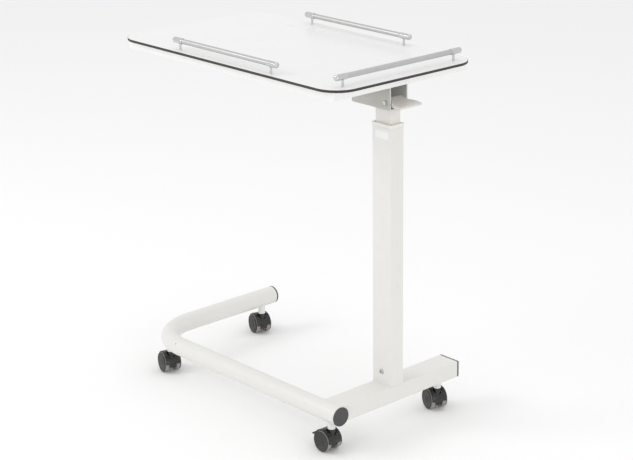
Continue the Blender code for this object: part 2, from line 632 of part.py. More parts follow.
def make_caps():
    """Pressed-in plastic plugs in the three open tube ends."""
    outer = ROUND_TUBE_DIAMETER / 2
    bore = outer - ROUND_TUBE_WALL - GAP
    profile = [(bore - 0.0005, -CAP_PLUG), (bore, -CAP_PLUG + 0.001), (bore, GAP), (outer, GAP)]
    profile += [(outer, CAP_THICKNESS - 0.0012), (outer - 0.0012, CAP_THICKNESS)]
    mesh = moved(turned(profile), ALONG_X)
    place("front_tube_cap", mesh, dark_plastic, (FRONT_TUBE_END_X, FRONT_TUBE_Y, BASE_AXIS_Z), base)
    place("leg_end_cap", mesh, dark_plastic, (COLUMN_X + LEG_X, LEG_END_Y, BASE_AXIS_Z), base, math.pi / 2)
    width, height = CROSS_TUBE_WIDTH, CROSS_TUBE_HEIGHT
    fit = 2 * COLUMN_WALL + 2 * GAP
    rings = [
        rounded_rectangle(width - fit, height - fit, 0.001, -CAP_PLUG),
        rounded_rectangle(width - fit, height - fit, 0.001, GAP),
        rounded_rectangle(width, height, COLUMN_CORNER, GAP),
        rounded_rectangle(width, height, COLUMN_CORNER, CAP_THICKNESS - 0.001),
        rounded_rectangle(width - 0.002, height - 0.002, COLUMN_CORNER, CAP_THICKNESS),
    ]
    cap = moved(loft(rings), Matrix.Rotation(-math.pi / 2, 4, "X"))
    place("cross_tube_cap", cap, dark_plastic, (COLUMN_X, CROSS_TUBE_END_Y, BASE_AXIS_Z), base)


# ---- casters ------------------------------------------------------------------------------------------------------
FRONT_RIGHT_AT = Vector((COLUMN_X + FRONT_RIGHT_STEM_X, FRONT_TUBE_Y))
FRONT_LEFT_AT = bend_point(FRONT_LEFT_STEM_ANGLE)
LEG_POINT = Vector((COLUMN_X + LEG_X, BACK_LEFT_STEM.y))
BACK_LEFT_AT = LEG_POINT + Vector((BACK_LEFT_STEM.x, 0))
BACK_RIGHT_AT = Vector((COLUMN_X, 0)) + BACK_RIGHT_STEM
# where each stem stands, the point of the round tube's axis that it hangs from (None under the cross tube), which way
# the tube runs there, how far the caster is swivelled at rest, and whether it has a brake tab
CASTERS = {
    "front_right": (FRONT_RIGHT_AT, FRONT_RIGHT_AT, 0, -2.5, True),
    "front_left": (FRONT_LEFT_AT, FRONT_LEFT_AT, -FRONT_LEFT_STEM_ANGLE, -16, False),
    "back_left": (BACK_LEFT_AT, LEG_POINT, 90, -15, True),
    "back_right": (BACK_RIGHT_AT, None, 0, -19, False),
}
AXLE_AT = Vector((-WHEEL_TRAIL, 0, WHEEL_RADIUS))  # from a caster's swivel axis
WHEEL_POCKET_RADIUS = WHEEL_RADIUS + FENDER_CLEARANCE
HINGE_AT = AXLE_AT + Vector((PEDAL_HINGE.x - WHEEL_RADIUS, 0, PEDAL_HINGE.y))


def hood_section(y, inset, bulge):
    """Outline of a hood at one place across it: round over the wheels, with a web down to the axle between them."""
    radius = WHEEL_POCKET_RADIUS + FENDER_THICKNESS - inset
    web_front = STEM_DIAMETER / 2 + HOOD_WEB_NOSE
    points = [(web_front, HOOD_FLOOR), (web_front + 0.001, HOOD_FLOOR + 0.007)]
    steps = 15
    for i in range(steps + 1):
        a = math.radians(HOOD_MOUTH + (HOOD_HEEL - HOOD_MOUTH) * i / steps)
        forward = bulge * max(0.0, math.cos(a))
        points.append((AXLE_AT.x + radius * math.cos(a) + forward, AXLE_AT.z + radius * math.sin(a)))
    points.append((AXLE_AT.x - 0.008, HOOD_FLOOR + 0.002))
    return [Vector((x, y, z)) for x, z in points]


def hood_mesh():
    """The solid envelope of a hood, rounded at its two sides and on plan at its nose."""
    half = WHEEL_GAP / 2 + WHEEL_WIDTH - HOOD_SETBACK
    edges = {0.0: 0.0, 0.3: 0.0, 0.6: 0.0, 0.88: 0.0, 0.965: 0.0005, 1.0: 0.0014}
    shares = [-share for share in reversed(edges) if share] + list(edges)
    sections = [hood_section(share * half, edges[abs(share)], NOSE_BULGE * (1 - share**2)) for share in shares]
    bm = bmesh.new()
    bm.from_mesh(loft(sections))
    bmesh.ops.triangulate(bm, faces=bm.faces)  # the Booleans need flat faces, and a bulged nose has bent ones
    return finished_mesh(bm)


def wheel_mesh():
    """One wheel, its dished outer face at +Y, its inner face at Y = 0."""
    r, w = WHEEL_RADIUS, WHEEL_WIDTH
    bore = AXLE_DIAMETER / 2 + GAP
    profile = [(bore, 0.0), (r - 0.002, 0.0), (r, 0.002), (r, w - 0.002), (r - 0.002, w)]
    profile += [(r - 0.005, w - 0.0008), (0.006, w - 0.0022), (bore, w - 0.0022)]
    return moved(turned(profile, closed=True), ALONG_Y)


def make_socket(name, where, tube_point, tube_direction):
    """A turned boss welded to the underside of the base, with the caster's stem pressed into it."""
    axis = joint_empty(name + "_socket_axis", (where.x, where.y, 0), base)
    radius = SOCKET_DIAMETER / 2
    stem = STEM_DIAMETER / 2
    if tube_point is None:
        top = BASE_AXIS_Z - CROSS_TUBE_HEIGHT / 2 - GAP
    else:
        top = CASTER_HEIGHT + SOCKET_OVERLAP
    rings = [(radius, SOCKET_FLOOR), (radius, top), (stem + GAP, top), (stem + GAP, SOCKET_FLOOR)]
    socket = place(name + "_socket", turned(rings, 24, closed=True), powder_coat, parent=axis)
    if tube_point is not None:
        reach = ROUND_TUBE_DIAMETER
        saddle = turned([(ROUND_TUBE_DIAMETER / 2 + GAP, -reach), (ROUND_TUBE_DIAMETER / 2 + GAP, reach)])
        saddle = moved(moved(saddle, ALONG_X), Matrix.Rotation(math.radians(tube_direction), 4, "Z"))
        offset = tube_point - where
        cut(socket, name + "_saddle", moved(saddle, Matrix.Translation((offset.x, offset.y, BASE_AXIS_Z))))
    stem_profile = [(stem, HOOD_FLOOR + 0.001), (stem, CASTER_HEIGHT - 0.004)]
    place(name + "_stem", turned(stem_profile, 20), zinc, parent=axis)


def make_hood(name, swivel):
    """A moulded hood over two wheels, with a neck for its stem standing in a well."""
    hood = place(name + "_hood", hood_mesh(), caster_nylon, parent=swivel)
    far = WHEEL_GAP / 2 + 2 * WHEEL_WIDTH
    for side, label in ((-1, "a"), (1, "b")):
        low, high = sorted((side * HOOD_WEB / 2, side * far))
        pocket = moved(turned([(WHEEL_POCKET_RADIUS, low), (WHEEL_POCKET_RADIUS, high)], 48), ALONG_Y)
        cut(hood, f"{name}_pocket_{label}", moved(pocket, Matrix.Translation(AXLE_AT)))
    cut(hood, name + "_well", turned([(WELL_RADIUS, WELL_FLOOR), (WELL_RADIUS, 2 * WHEEL_DIAMETER)], 24))
    neck = turned([(NECK_RADIUS, WELL_FLOOR - 0.004), (NECK_RADIUS, NECK_TOP)], 24)
    combine(hood, name + "_neck", neck, "UNION")
    bore = STEM_DIAMETER / 2 + SLIDE_CLEARANCE
    cut(hood, name + "_stem_bore", turned([(bore, 0), (bore, 2 * WHEEL_DIAMETER)], 20))
    axle_bore = AXLE_DIAMETER / 2 + GAP
    bore_mesh = moved(turned([(axle_bore, -HOOD_WEB), (axle_bore, HOOD_WEB)], SMALL_SIDES), ALONG_Y)
    cut(hood, name + "_axle_bore", moved(bore_mesh, Matrix.Translation(AXLE_AT)))
    return hood


def make_wheels(name, swivel):
    """An axle through the hood's web, and a wheel on each side of it."""
    reach = WHEEL_GAP / 2 + WHEEL_WIDTH - 0.003
    radius = AXLE_DIAMETER / 2
    axle = moved(turned([(radius, -reach), (radius, reach)], SMALL_SIDES), ALONG_Y)
    place(name + "_axle", axle, zinc, AXLE_AT, swivel)
    for side, label in ((-1, "front"), (1, "back")):
        at = AXLE_AT + Vector((0, side * WHEEL_GAP / 2, 0))
        spin = joint_empty(f"{name}_{label}_spin_axis", at, swivel, 0.0 if side > 0 else math.pi)
        place(f"{name}_wheel_{label}", wheel_mesh(), wheel_plastic, parent=spin)


def make_pedal(name, hood, swivel):
    """A brake tab on the trailing side of a hood: a neck hinged between the wheels, and a wide end to step on.
    Each section is (x, half width, height of its middle, thickness) from the hinge."""
    half_room = HOOD_WEB / 2 - 0.0016
    room_low = Vector((-2 * PEDAL_LENGTH, -half_room, -WHEEL_RADIUS))
    room_high = Vector((PEDAL_THICKNESS + 2 * PEDAL_CLEARANCE, half_room, PEDAL_HEADROOM))
    cut(hood, name + "_pedal_room", moved(block(room_low, room_high), Matrix.Translation(HINGE_AT)))
    neck = half_room - PEDAL_CLEARANCE
    pad = PEDAL_PAD_HALF_WIDTH
    t = PEDAL_THICKNESS
    slope = PEDAL_DROP / PEDAL_LENGTH
    pad_start = PEDAL_PAD - PEDAL_LENGTH
    sections = [
        (t, neck, 0.0, 0.0045),
        (-0.002, neck, 0.0, 0.0050),
        (pad_start + 0.0015, neck, slope * pad_start, t),
        (pad_start, pad, slope * pad_start, t),
        (0.0015 - PEDAL_LENGTH, pad, 0.0015 * slope - PEDAL_DROP, t),
        (-PEDAL_LENGTH, pad - 0.0012, -PEDAL_DROP, t / 2),
    ]
    rings = []
    for x, half, middle, thick in sections:
        low, high = middle - thick / 2, middle + thick / 2
        rings.append([Vector((x, y, z)) for y, z in ((-half, low), (half, low), (half, high), (-half, high))])
    axis = joint_empty(name + "_pedal_axis", HINGE_AT, swivel)
    place(name + "_brake_pedal", loft(rings), caster_nylon, parent=axis)


def make_caster(name, where, tube_point, tube_direction, turn, braked):
    """A socket on the base, and a hood that swivels on its stem with two wheels on one axle."""
    make_socket(name, where, tube_point, tube_direction)
    swivel = joint_empty(name + "_swivel_axis", (where.x, where.y, 0), base, math.radians(turn))
    hood = make_hood(name, swivel)
    make_wheels(name, swivel)
    if braked:
        make_pedal(name, hood, swivel)


make_board()
make_tray()
for rail, settings in RAILS.items():
    make_rail(rail, *settings)
make_bracket()
make_pivot_bolt()
make_lever()
make_mast()
make_column()
make_gas_spring()
make_round_tube()
make_cross_tube()
make_caps()
for caster, settings in CASTERS.items():
    make_caster(caster, *settings)
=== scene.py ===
"""The looks of a height-adjustable overbed table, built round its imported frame: painted steel base and
column, laminate top with gallery rails, release lever and twin-wheel casters. Metres, +Z up."""

import json
import math

import bmesh
import bpy
from mathutils import Matrix, Vector


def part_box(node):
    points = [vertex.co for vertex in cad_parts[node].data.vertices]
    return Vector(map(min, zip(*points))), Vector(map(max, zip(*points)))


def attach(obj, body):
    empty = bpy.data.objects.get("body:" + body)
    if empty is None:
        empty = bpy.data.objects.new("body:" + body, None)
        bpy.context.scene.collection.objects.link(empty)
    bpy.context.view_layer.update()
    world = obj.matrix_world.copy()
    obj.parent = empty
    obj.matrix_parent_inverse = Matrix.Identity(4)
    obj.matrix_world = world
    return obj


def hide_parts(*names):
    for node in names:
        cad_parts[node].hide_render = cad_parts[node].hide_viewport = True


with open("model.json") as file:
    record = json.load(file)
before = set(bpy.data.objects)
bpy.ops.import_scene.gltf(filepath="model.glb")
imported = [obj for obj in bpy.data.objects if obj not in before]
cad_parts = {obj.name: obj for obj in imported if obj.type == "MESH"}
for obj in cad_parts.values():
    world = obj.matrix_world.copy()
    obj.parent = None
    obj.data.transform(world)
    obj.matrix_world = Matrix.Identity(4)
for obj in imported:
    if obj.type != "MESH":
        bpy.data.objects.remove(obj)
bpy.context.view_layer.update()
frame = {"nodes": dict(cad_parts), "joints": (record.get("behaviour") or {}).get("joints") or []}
joints = {joint["name"]: joint for joint in frame["joints"]}

# ---- base: round tube ----------------------------------------------------------------------------
# One steel tube bent cold to an L on plan, with a drilled vent where the bend starts. It is degreased and
# powder coated off-white with the rest of the steelwork, so the coat has a fine orange peel and a few
# rubbed scuffs.
TUBE_BEND_RADIUS = 0.118
TUBE_WALL = 0.002
TUBE_SIDES = 64
COAT_COLOUR = (0.80, 0.79, 0.757)
VENT_ANGLE = math.radians(38)
VENT_RADIUS = 0.0018
VENT_PAST_BEND = 0.004
EDGE = 0.0006


class Field:
    """A node's output that takes part in arithmetic: each operator on it adds the Math node for it."""

    def __init__(self, finish, socket):
        self.finish = finish
        self.socket = socket

    def math(self, operation, first, second):
        return self.finish.node("ShaderNodeMath", {"operation": operation}, {0: first, 1: second})

    def __add__(self, other):
        return self.math("ADD", self, other)

    def __sub__(self, other):
        return self.math("SUBTRACT", self, other)

    def __rsub__(self, other):
        return self.math("SUBTRACT", other, self)

    def __mul__(self, other):
        return self.math("MULTIPLY", self, other)

    __radd__ = __add__
    __rmul__ = __mul__


class Finish:
    """A material in the making: its Principled shader, and one way to add any other node."""

    def __init__(self, name, **fixed):
        self.material = bpy.data.materials.new(name)
        self.material.use_nodes = True
        self.tree = self.material.node_tree
        self.shader = self.tree.nodes["Principled BSDF"]
        self.place = self.node("ShaderNodeTexCoord", out="Object")
        self.wear(**fixed)

    def node(self, kind, settings=None, sockets=None, out=0):
        """Adds a node, sets it up, fills or links its sockets, and gives one of its outputs."""
        made = self.tree.nodes.new(kind)
        for name, value in (settings or {}).items():
            if name == "stops":
                for stop, (position, grey) in zip(made.color_ramp.elements, value):
                    stop.position = position
                    stop.color = (grey, grey, grey, 1)
            else:
                setattr(made, name, value)
        for name, value in (sockets or {}).items():
            self.fill(made.inputs[name], value)
        return Field(self, made.outputs[out])

    def fill(self, socket, value):
        if isinstance(value, Field):
            self.tree.links.new(value.socket, socket)
        elif socket.type == "RGBA":
            socket.default_value = (*value, 1.0)
        else:
            socket.default_value = value

    def wear(self, **sockets):
        """Sets or links the shader's own sockets, named in lower case with underscores."""
        by_name = {socket.name.lower().replace(" ", "_"): socket for socket in self.shader.inputs}
        for name, value in sockets.items():
            self.fill(by_name[name], value)
        return self.material

    def noise(self, scale, detail=2.0, roughness=0.5, stretch=(1, 1, 1), seed=0.0):
        """Noise from 0 to 1. Scale is in features per metre; a stretch below 1 draws it out on that axis."""
        placed = {"Vector": self.place, "Location": (seed,) * 3, "Scale": stretch}
        moved = self.node("ShaderNodeMapping", None, placed)
        sockets = {"Vector": moved, "Scale": scale, "Detail": detail, "Roughness": roughness}
        return self.node("ShaderNodeTexNoise", None, sockets)

    def ramp(self, value, low, high):
        """0 below low, 1 above high."""
        return self.node("ShaderNodeValToRGB", {"stops": ((low, 0.0), (high, 1.0))}, {"Fac": value})

    def blend(self, share, first, second):
        """From the first colour to the second."""
        return self.node("ShaderNodeMix", {"data_type": "RGBA"}, {0: share, 6: first, 7: second}, out=2)

    def bump(self, height, depth, under=None):
        """A normal from a height of 0 to 1 that is depth metres deep, over another bump if there is one."""
        sockets = {"Height": height, "Strength": 1.0, "Distance": depth}
        if under:
            sockets["Normal"] = under
        return self.node("ShaderNodeBump", None, sockets)


def powder_coat(name, colour=COAT_COLOUR, scuffs=0.5):
    """Baked polyester powder: orange peel a millimetre across, slow changes of gloss, thin grey scuffs."""
    coat = Finish(name, ior=1.5)
    peel = coat.noise(820, 3.0, 0.55)
    flow = coat.noise(36, 2.0, seed=3.0)
    scratches = coat.ramp(coat.noise(140, 4.0, 0.7, (1, 1, 0.12), 7.0), 0.66, 0.74)
    marks = scratches * coat.ramp(flow, 0.5, 0.62) * scuffs
    toned = coat.blend(flow, colour, tuple(c * 0.965 for c in colour))
    rubbed = coat.blend(marks, toned, (0.52, 0.51, 0.49))
    gloss = 0.34 + 0.07 * flow + 0.22 * marks
    relief = coat.bump(peel, 0.00006, coat.bump(flow, 0.00025))
    return coat.wear(base_color=rubbed, roughness=gloss, normal=relief)


def circle(radius, sides=TUBE_SIDES, height=0.0):
    """A ring of points round Z."""
    turns = [2 * math.pi * i / sides for i in range(sides)]
    return [Vector((radius * math.cos(a), radius * math.sin(a), height)) for a in turns]


def loft(rings, closed=False, smooth_angle=32):
    """A closed mesh through rings of equal counts: end to end with caps, or round to the first ring again."""
    bm = bmesh.new()
    rows = [[bm.verts.new(point) for point in ring] for ring in rings]
    last = len(rows) if closed else len(rows) - 1
    for i in range(last):
        low, high = rows[i], rows[(i + 1) % len(rows)]
        for k in range(len(low)):
            n = (k + 1) % len(low)
            bm.faces.new((low[k], low[n], high[n], high[k]))
    if not closed:
        bm.faces.new(reversed(rows[0]))
        bm.faces.new(rows[-1])
    return shaded(bm, smooth_angle)


def shaded(bm, smooth_angle=32):
    """The bmesh as a mesh, its doubles merged, its faces outward, and smooth up to an angle."""
    bmesh.ops.remove_doubles(bm, verts=bm.verts, dist=1e-6)
    bmesh.ops.dissolve_degenerate(bm, edges=bm.edges, dist=1e-7)
    bmesh.ops.recalc_face_normals(bm, faces=bm.faces)
    mesh = bpy.data.meshes.new("mesh")
    bm.to_mesh(mesh)
    bm.free()
    mesh.shade_smooth()
    mesh.set_sharp_from_angle(angle=math.radians(smooth_angle))
    return mesh


def joined(meshes, smooth_angle=32):
    """Several closed meshes as one."""
    bm = bmesh.new()
    for mesh in meshes:
        bm.from_mesh(mesh)
    return shaded(bm, smooth_angle)


def softened(made, name, width, angle):
    """Small radii on the piece's edges that turn by more than an angle."""
    radii = made.modifiers.new(name, "BEVEL")
    radii.width = width
    radii.segments = 2
    radii.limit_method = "ANGLE"
    radii.angle_limit = math.radians(angle)


def added(name, data):
    """A new object in the scene."""
    made = bpy.data.objects.new(name, data)
    bpy.context.scene.collection.objects.link(made)
    return made


def piece(name, mesh, material, body, slot, *nodes):
    """A finished piece that rides on a body, takes a finish, and stands for CAD nodes. The slot is not used.
    """
    made = added(name, mesh)
    if material:
        mesh.materials.append(material)
    even = made.modifiers.new("even_shading", "WEIGHTED_NORMAL")
    even.keep_sharp = True
    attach(made, body)
    if nodes:
        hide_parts(*nodes)
    return made


tube_low, tube_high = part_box("base_round_tube")
TUBE_RADIUS = (tube_high.z - tube_low.z) / 2
AXIS_Z = (tube_high.z + tube_low.z) / 2
FRONT_Y = tube_low.y + TUBE_RADIUS
LEG_X = tube_low.x + TUBE_RADIUS
bend_centre = Vector((LEG_X + TUBE_BEND_RADIUS, FRONT_Y + TUBE_BEND_RADIUS, AXIS_Z))


def tube_stations():
    """Places along the tube's axis, each with its direction on plan: front run, bend, and leg."""
    run, bend, leg = 24, 45, 12
    for i in range(run):
        yield Vector((tube_high.x + (bend_centre.x - tube_high.x) * i / run, FRONT_Y, AXIS_Z)), math.pi
    for i in range(bend + 1):
        a = math.pi / 2 * i / bend
        offset = Vector((-math.sin(a), -math.cos(a), 0))
        yield bend_centre + TUBE_BEND_RADIUS * offset, math.pi - a
    for i in range(1, leg + 1):
        yield Vector((LEG_X, bend_centre.y + (tube_high.y - bend_centre.y) * i / leg, AXIS_Z)), math.pi / 2


def tube_ring(centre, heading, radius):
    across = Vector((-math.sin(heading), math.cos(heading), 0))
    return [centre + p.x * across + Vector((0, 0, p.y)) for p in circle(radius)]


stations = list(tube_stations())
ends = [stations[0], stations[-1]]
outside = [tube_ring(c, h, TUBE_RADIUS) for c, h in stations[1:-1]]
inside = [tube_ring(c, h, TUBE_RADIUS - TUBE_WALL) for c, h in stations]
for which, (centre, heading) in enumerate(ends):
    inward = Vector((math.cos(heading), math.sin(heading), 0)) * (EDGE if which == 0 else -EDGE)
    rim = [tube_ring(centre, heading, TUBE_RADIUS - EDGE), tube_ring(centre + inward, heading, TUBE_RADIUS)]
    outside = rim + outside if which == 0 else outside + rim[::-1]
steel_coat = powder_coat("off_white_powder_coat")
bent_tube = loft(outside + inside[::-1], closed=True)
piece("bent_base_tube", bent_tube, steel_coat, "base", "powder_coat", "base_round_tube")

vent_axis = Vector((0, -math.cos(VENT_ANGLE), math.sin(VENT_ANGLE)))
vent_at = Vector((bend_centre.x + VENT_PAST_BEND, FRONT_Y, AXIS_Z)) + vent_axis * (TUBE_RADIUS - 0.0003)
vent_profile = (
    (0.0, 0.0008),
    (0.0012, 0.0006),
    (VENT_RADIUS, 0.0001),
    (VENT_RADIUS, -0.0012),
    (0.0, -0.0012),
)


def lathe(profile, sides=TUBE_SIDES, closed=False):
    """A turned shape from (radius, height) pairs, from end to end, or round a hollow section."""
    return loft([circle(r, sides, z) for r, z in profile], closed)


def aimed(mesh, at, direction=(0, 0, 1)):
    """The mesh with its Z axis turned to a direction and its origin moved to a place."""
    turn = Vector((0, 0, 1)).rotation_difference(Vector(direction)).to_matrix().to_4x4()
    mesh.transform(Matrix.Translation(at) @ turn)
    return mesh


def plated(name, colour=(0.62, 0.635, 0.64), rough=0.3):
    """Bright zinc: cloudy patches in the passivation, with fine turning marks."""
    zinc = Finish(name, metallic=1.0)
    cloud = zinc.noise(260, 3.0, 0.6)
    marks = zinc.noise(1900, 2.0, 0.5, seed=5.0)
    toned = zinc.blend(cloud, colour, tuple(c * 0.8 for c in colour))
    relief = zinc.bump(marks, 0.00003)
    return zinc.wear(base_color=toned, roughness=rough - 0.08 + 0.2 * cloud, normal=relief)


bright_zinc = plated("zinc_plate")
vent_plug = aimed(lathe(vent_profile, 24), vent_at, vent_axis)
piece("bend_vent_plug", vent_plug, plated("dull_zinc", (0.35, 0.36, 0.38), 0.4), "base", "zinc")

# ---- base: cross tube ----------------------------------------------------------------------------
# A stock 60 x 40 mm tube, coped at its front end to sit on the round tube and welded round. Its corners are
# the mill's own 3 mm radius, and its back end is sawn square for a cap.
TUBE_CORNER = 0.003
JOINT_GAP = 0.0003

cross_low, cross_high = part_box("base_cross_tube")
CROSS_WIDTH = cross_high.x - cross_low.x
CROSS_HEIGHT = cross_high.z - cross_low.z
COLUMN_X = (cross_low.x + cross_high.x) / 2


def rectangle(width, depth, corner, height=0.0, steps=7):
    """A ring of points round Z with rounded corners, width along X and depth along Y."""
    points = []
    for quarter, (sx, sy) in enumerate(((1, 1), (-1, 1), (-1, -1), (1, -1))):
        centre = Vector((sx * (width / 2 - corner), sy * (depth / 2 - corner), height))
        for i in range(steps + 1):
            a = (quarter + i / steps) * math.pi / 2
            points.append(centre + corner * Vector((math.cos(a), math.sin(a), 0)))
    return points


def moved(ring, x, y=0.0):
    """A ring of points shifted on plan."""
    return [p + Vector((x, y, 0)) for p in ring]


def coped_end(x, z, radius=TUBE_RADIUS + JOINT_GAP):
    """Where a point of the cross tube's section meets the round tube."""
    return Vector((COLUMN_X + x, FRONT_Y + math.sqrt(radius**2 - z**2), AXIS_Z + z))


outer_section = rectangle(CROSS_WIDTH, CROSS_HEIGHT, TUBE_CORNER)
inner_section = rectangle(CROSS_WIDTH - 2 * TUBE_WALL, CROSS_HEIGHT - 2 * TUBE_WALL, TUBE_CORNER / 2)
rings = []
for section, order in ((outer_section, 1), (inner_section, -1)):
    lengths = [[coped_end(p.x, p.y) for p in section]]
    for y in (0.0, cross_high.y - EDGE):
        lengths.append([Vector((COLUMN_X + p.x, y, AXIS_Z + p.y)) for p in section])
    shrink = 1 - 2 * EDGE / CROSS_WIDTH if order == 1 else 1.0
    lengths.append([Vector((COLUMN_X + p.x * shrink, cross_high.y, AXIS_Z + p.y * shrink)) for p in section])
    rings += lengths[::order]
piece("coped_cross_tube", loft(rings, closed=True), steel_coat, "base", "powder_coat", "base_cross_tube")

# ---- base: caps in the tube ends -----------------------------------------------------------------
# Moulded polyethylene plugs, dark grey with a fine spark texture. Each is pressed in, and has a softly
# crowned face and a lip as wide as its tube.
PLUG_RADIUS = 0.0200
PLUG_DEPTH = 0.011
PLUG_CROWN = 0.0050


def moulded(name, colour, rough, grain=1400, depth=0.00004, dust=0.0):
    """A moulded plastic: spark-eroded grain, slow gloss changes, and paler dust towards the floor."""
    plastic = Finish(name, ior=1.5)
    fine = plastic.noise(grain, 3.0, 0.6)
    flow = plastic.noise(70, 2.0, seed=2.0)
    toned = plastic.blend(flow, colour, tuple(min(1.0, c * 1.12 + 0.002) for c in colour))
    if dust:
        height = plastic.node("ShaderNodeSeparateXYZ", None, {0: plastic.place}, out="Z")
        low_down = 1 - plastic.ramp(height * 12, 0.05, 0.65)
        film = low_down * plastic.ramp(plastic.noise(90, 4.0, 0.7, seed=9.0), 0.35, 0.8) * dust
        toned = plastic.blend(film, toned, (0.34, 0.32, 0.30))
    relief = plastic.bump(fine, depth)
    return plastic.wear(base_color=toned, roughness=rough + 0.14 * flow, normal=relief)


def filleted(outline, radius, steps=5):
    """An open outline of (x, y) pairs with its corners rounded by arcs."""
    points = [Vector(p) for p in outline]
    result = [points[0]]
    for back, corner, ahead in zip(points, points[1:], points[2:]):
        to_back, to_ahead = back - corner, ahead - corner
        half = to_back.angle(to_ahead) / 2
        reach = min(radius / math.tan(half), 0.48 * to_back.length, 0.48 * to_ahead.length)
        turn_radius = reach * math.tan(half)
        bisector = (to_back.normalized() + to_ahead.normalized()).normalized()
        centre = corner + bisector * turn_radius / math.sin(half)
        start = (corner + to_back.normalized() * reach - centre).normalized()
        finish = (corner + to_ahead.normalized() * reach - centre).normalized()
        for i in range(steps + 1):
            direction = start.lerp(finish, i / steps)
            result.append(centre + turn_radius * direction.normalized())
    return result + [points[-1]]


dark_moulding = moulded("dark_grey_polyethylene", (0.055, 0.054, 0.055), 0.42, 900, 0.00006)
cap_outline = [
    (0.0, -PLUG_DEPTH),
    (PLUG_RADIUS, -PLUG_DEPTH),
    (PLUG_RADIUS, JOINT_GAP),
    (TUBE_RADIUS, JOINT_GAP),
    (TUBE_RADIUS, PLUG_CROWN - 0.0012),
    (TUBE_RADIUS - 0.0022, PLUG_CROWN),
    (TUBE_RADIUS - 0.006, PLUG_CROWN - 0.0004),
    (0.0, PLUG_CROWN - 0.0001),
]
cap_profile = filleted(cap_outline, 0.0011)
for cap_name, node, at, way in (
    ("front_tube_plug", "front_tube_cap", Vector((tube_high.x, FRONT_Y, AXIS_Z)), (1, 0, 0)),
    ("leg_end_plug", "leg_end_cap", Vector((LEG_X, tube_high.y, AXIS_Z)), (0, 1, 0)),
):
    piece(cap_name, aimed(lathe(cap_profile), at, way), dark_moulding, "base", "dark_plastic", node)

CAP_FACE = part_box("cross_tube_cap")[1].y - cross_high.y
cap_rings = []
for inset, depth in (
    (TUBE_WALL + 0.0006, -PLUG_DEPTH),
    (TUBE_WALL + 0.0003, 0.001 - PLUG_DEPTH),
    (TUBE_WALL + 0.0003, JOINT_GAP),
    (0.0, JOINT_GAP),
    (0.0, CAP_FACE - 0.0012),
    (0.0004, CAP_FACE - 0.0004),
    (0.0013, CAP_FACE),
    (0.0050, CAP_FACE - 0.0004),
):
    corner = max(TUBE_CORNER - inset / 2, 0.001)
    ring = rectangle(CROSS_WIDTH - 2 * inset, CROSS_HEIGHT - 2 * inset, corner)
    cap_rings.append([Vector((COLUMN_X + p.x, cross_high.y + depth, AXIS_Z + p.y)) for p in ring])
piece("cross_tube_plug", loft(cap_rings), dark_moulding, "base", "dark_plastic", "cross_tube_cap")

# ---- column: outer tube --------------------------------------------------------------------------
# The same 60 x 40 mm tube stood on end and welded to the cross tube. Its top edge is deburred, and a small
# blank label of white vinyl sits on the user's side just below the collar.
LABEL_WIDTH = 0.041
LABEL_HEIGHT = 0.017
LABEL_THICKNESS = 0.00022
LABEL_DROP = 0.0085
LABEL_OFFSET = 0.0015

column_low, column_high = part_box("outer_column")
column_size = column_high - column_low


def upright_tube(low, high, width, depth, wall, corner):
    """A rectangular tube stood on end, with a small chamfer at each outer edge."""
    spans = [(0.0, low + EDGE), (0.0, high - EDGE), (EDGE, high)]
    rings = [rectangle(width - 2 * EDGE, depth - 2 * EDGE, corner - EDGE, low)]
    rings += [rectangle(width - 2 * i, depth - 2 * i, corner - i, z) for i, z in spans]
    rings += [rectangle(width - 2 * wall, depth - 2 * wall, corner / 2, z) for z in (high, low)]
    return [moved(ring, COLUMN_X) for ring in rings]


column_rings = upright_tube(column_low.z, column_high.z, column_size.x, column_size.y, TUBE_WALL, TUBE_CORNER)
piece("column_tube", loft(column_rings, closed=True), steel_coat, "base", "powder_coat", "outer_column")

vinyl = Finish("blank_white_vinyl", ior=1.48, coat_roughness=0.12)
vinyl_grain = vinyl.noise(600, 2.0)
vinyl_tone = vinyl.blend(vinyl.noise(50, 2.0, seed=4.0), (0.88, 0.885, 0.89), (0.84, 0.845, 0.85))
vinyl.wear(base_color=vinyl_tone, roughness=0.26 + 0.08 * vinyl_grain, coat_weight=0.4 + 0.2 * vinyl_grain)
vinyl.wear(normal=vinyl.bump(vinyl_grain, 0.00002))
label_face = column_low.y
label_middle = Vector((COLUMN_X + LABEL_OFFSET, label_face, column_high.z - LABEL_DROP - LABEL_HEIGHT / 2))
label_rings = []
for inset, proud in ((0.0, -0.00005), (0.0, LABEL_THICKNESS * 0.6), (0.00015, LABEL_THICKNESS)):
    ring = rectangle(LABEL_WIDTH - 2 * inset, LABEL_HEIGHT - 2 * inset, 0.0016)
    label_rings.append([label_middle + Vector((p.x, -proud, p.y)) for p in ring])
piece("blank_label", loft(label_rings), vinyl.material, "base", "collar_plastic")

# ---- base: welds ---------------------------------------------------------------------------------
# Short-arc weld beads under the coat: round the column's foot, round the cope, and round each caster
# socket. A bead is a row of overlapping ripples, each a little different in size.
BEAD_PITCH = 0.0016
BEAD_RADIUS = 0.0017
SOCKET_RADIUS = 0.009


